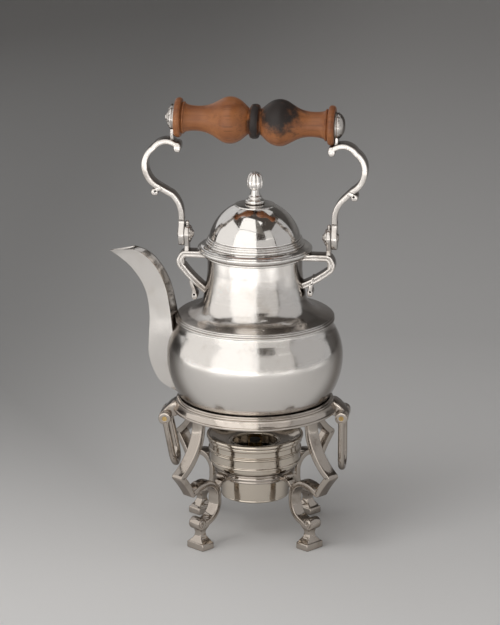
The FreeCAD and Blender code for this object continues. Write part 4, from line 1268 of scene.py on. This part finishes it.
def direction(turn, tilt):
    """Unit vector from the target; turn is measured from the front towards +X."""
    a, e = math.radians(turn), math.radians(tilt)
    return Vector((math.sin(a) * math.cos(e), -math.cos(a) * math.cos(e), math.sin(e)))


def camera():
    data = bpy.data.cameras.new("camera")
    data.lens = 201.6
    data.sensor_width = 36.0
    data.sensor_height = 36.0
    data.sensor_fit = "VERTICAL"
    data.clip_end = 50.0
    view = bpy.data.objects.new("camera", data)
    back = direction(CAMERA_TURN, CAMERA_TILT)
    right = Vector((math.cos(math.radians(CAMERA_TURN)), math.sin(math.radians(CAMERA_TURN)), 0))
    view.location = TARGET + back * CAMERA_REACH - right * AIM_LEFT
    view.rotation_euler = back.to_track_quat("Z", "Y").to_euler()
    bpy.context.scene.collection.objects.link(view)
    bpy.context.scene.camera = view


def softbox(name, turn, out, up, lean, wide, high, radiance, tint=(1.0, 1.0, 1.0)):
    """A flat lamp that faces the kettle; turn is measured from the camera's own direction."""
    data = bpy.data.lights.new(name, "AREA")
    data.shape = "RECTANGLE"
    data.size, data.size_y = wide, high
    data.energy = radiance * math.pi * wide * high
    data.color = tint
    lamp_object = bpy.data.objects.new(name, data)
    lamp_object.location = Vector((AX, 0, up)) + direction(CAMERA_TURN + turn, 0) * out
    lamp_object.rotation_euler = direction(CAMERA_TURN + turn, lean).to_track_quat("Z", "Y").to_euler()
    lamp_object.visible_camera = False
    bpy.context.scene.collection.objects.link(lamp_object)
    return lamp_object


def grey_flag():
    """A grey card between the kettle and the lamps, a little to the right of the camera."""
    n = Nodes("flag_card")
    n.shine(Base_Color=(0.22, 0.205, 0.185), Roughness=0.9)
    corners = []
    for turn, tilt in ((5, 47), (27, 39), (30, 84), (2, 84)):
        corners.append((TARGET + direction(CAMERA_TURN + turn, tilt) * 1.0) / MM)
    card = mesh_piece("flag_sheet", corners, [(0, 1, 2, 3)], n.material)
    card.visible_camera = False
    card.visible_shadow = False
    card.visible_diffuse = False


def lights():
    warm = (1.0, 0.985, 0.965)
    softbox("left_box", -27, 1.5, 1.02, 0, 1.80, 2.04, 1.15, warm)
    softbox("left_top_box", -27, 0.86, 2.36, 62, 1.80, 1.35, 1.05, warm)
    softbox("side_box", -86, 1.5, 1.02, 0, 1.55, 2.04, 0.78, warm)
    softbox("back_left_box", -142, 1.7, 1.25, 0, 1.60, 1.60, 0.55)
    softbox("right_low_box", 28.5, 1.5, 0.52, 0, 1.30, 1.04, 0.50, warm)
    softbox("right_high_box", 41, 1.6, 1.46, 12, 0.62, 0.80, 0.50, warm)
    softbox("right_box", 86, 1.6, 0.95, 6, 2.00, 1.90, 0.37, (0.985, 0.99, 1.0))
    softbox("back_top_box", 180, 0.9, 2.5, 66, 2.40, 1.30, 0.45)
    key = softbox("floor_key", -50, 1.3, 1.9, 48, 0.9, 0.9, 2.7, warm)
    key.visible_glossy = False
    for turn, radiance in ((-85, 1.2), (-45, 2.6), (-5, 2.8), (40, 1.5), (85, 1.0)):
        fill = softbox(f"floor_fill_{turn}", turn, 1.35, 0.50, 90, 0.60, 0.60, radiance, warm)
        fill.visible_glossy = False
        fill.data.spread = math.radians(100)
    world = bpy.data.worlds.new("studio")
    world.use_nodes = True
    world.node_tree.nodes["Background"].inputs["Color"].default_value = (0.065, 0.056, 0.05, 1.0)
    world.node_tree.nodes["Background"].inputs["Strength"].default_value = 1.0
    bpy.context.scene.world = world
    bpy.context.scene.view_settings.view_transform = "Standard"


# ------------------------------------------------------------------ build

camera()
lights()
grey_flag()
stage()
kettle()
spout()
lid()
grip()
stand_ring()
lamp_cradle()
lamp()
for one_side in SIDES:
    bracket(one_side)
    hinge(one_side)
    bail_arm(one_side)
    rod_cap(one_side)
    knuckle(one_side)
    drop_handle(one_side)
for leg_name, leg_turn in LEGS.items():
    leg(leg_name, leg_turn)
    lamp_bracket(leg_name, leg_turn)
finish_cad_nodes()
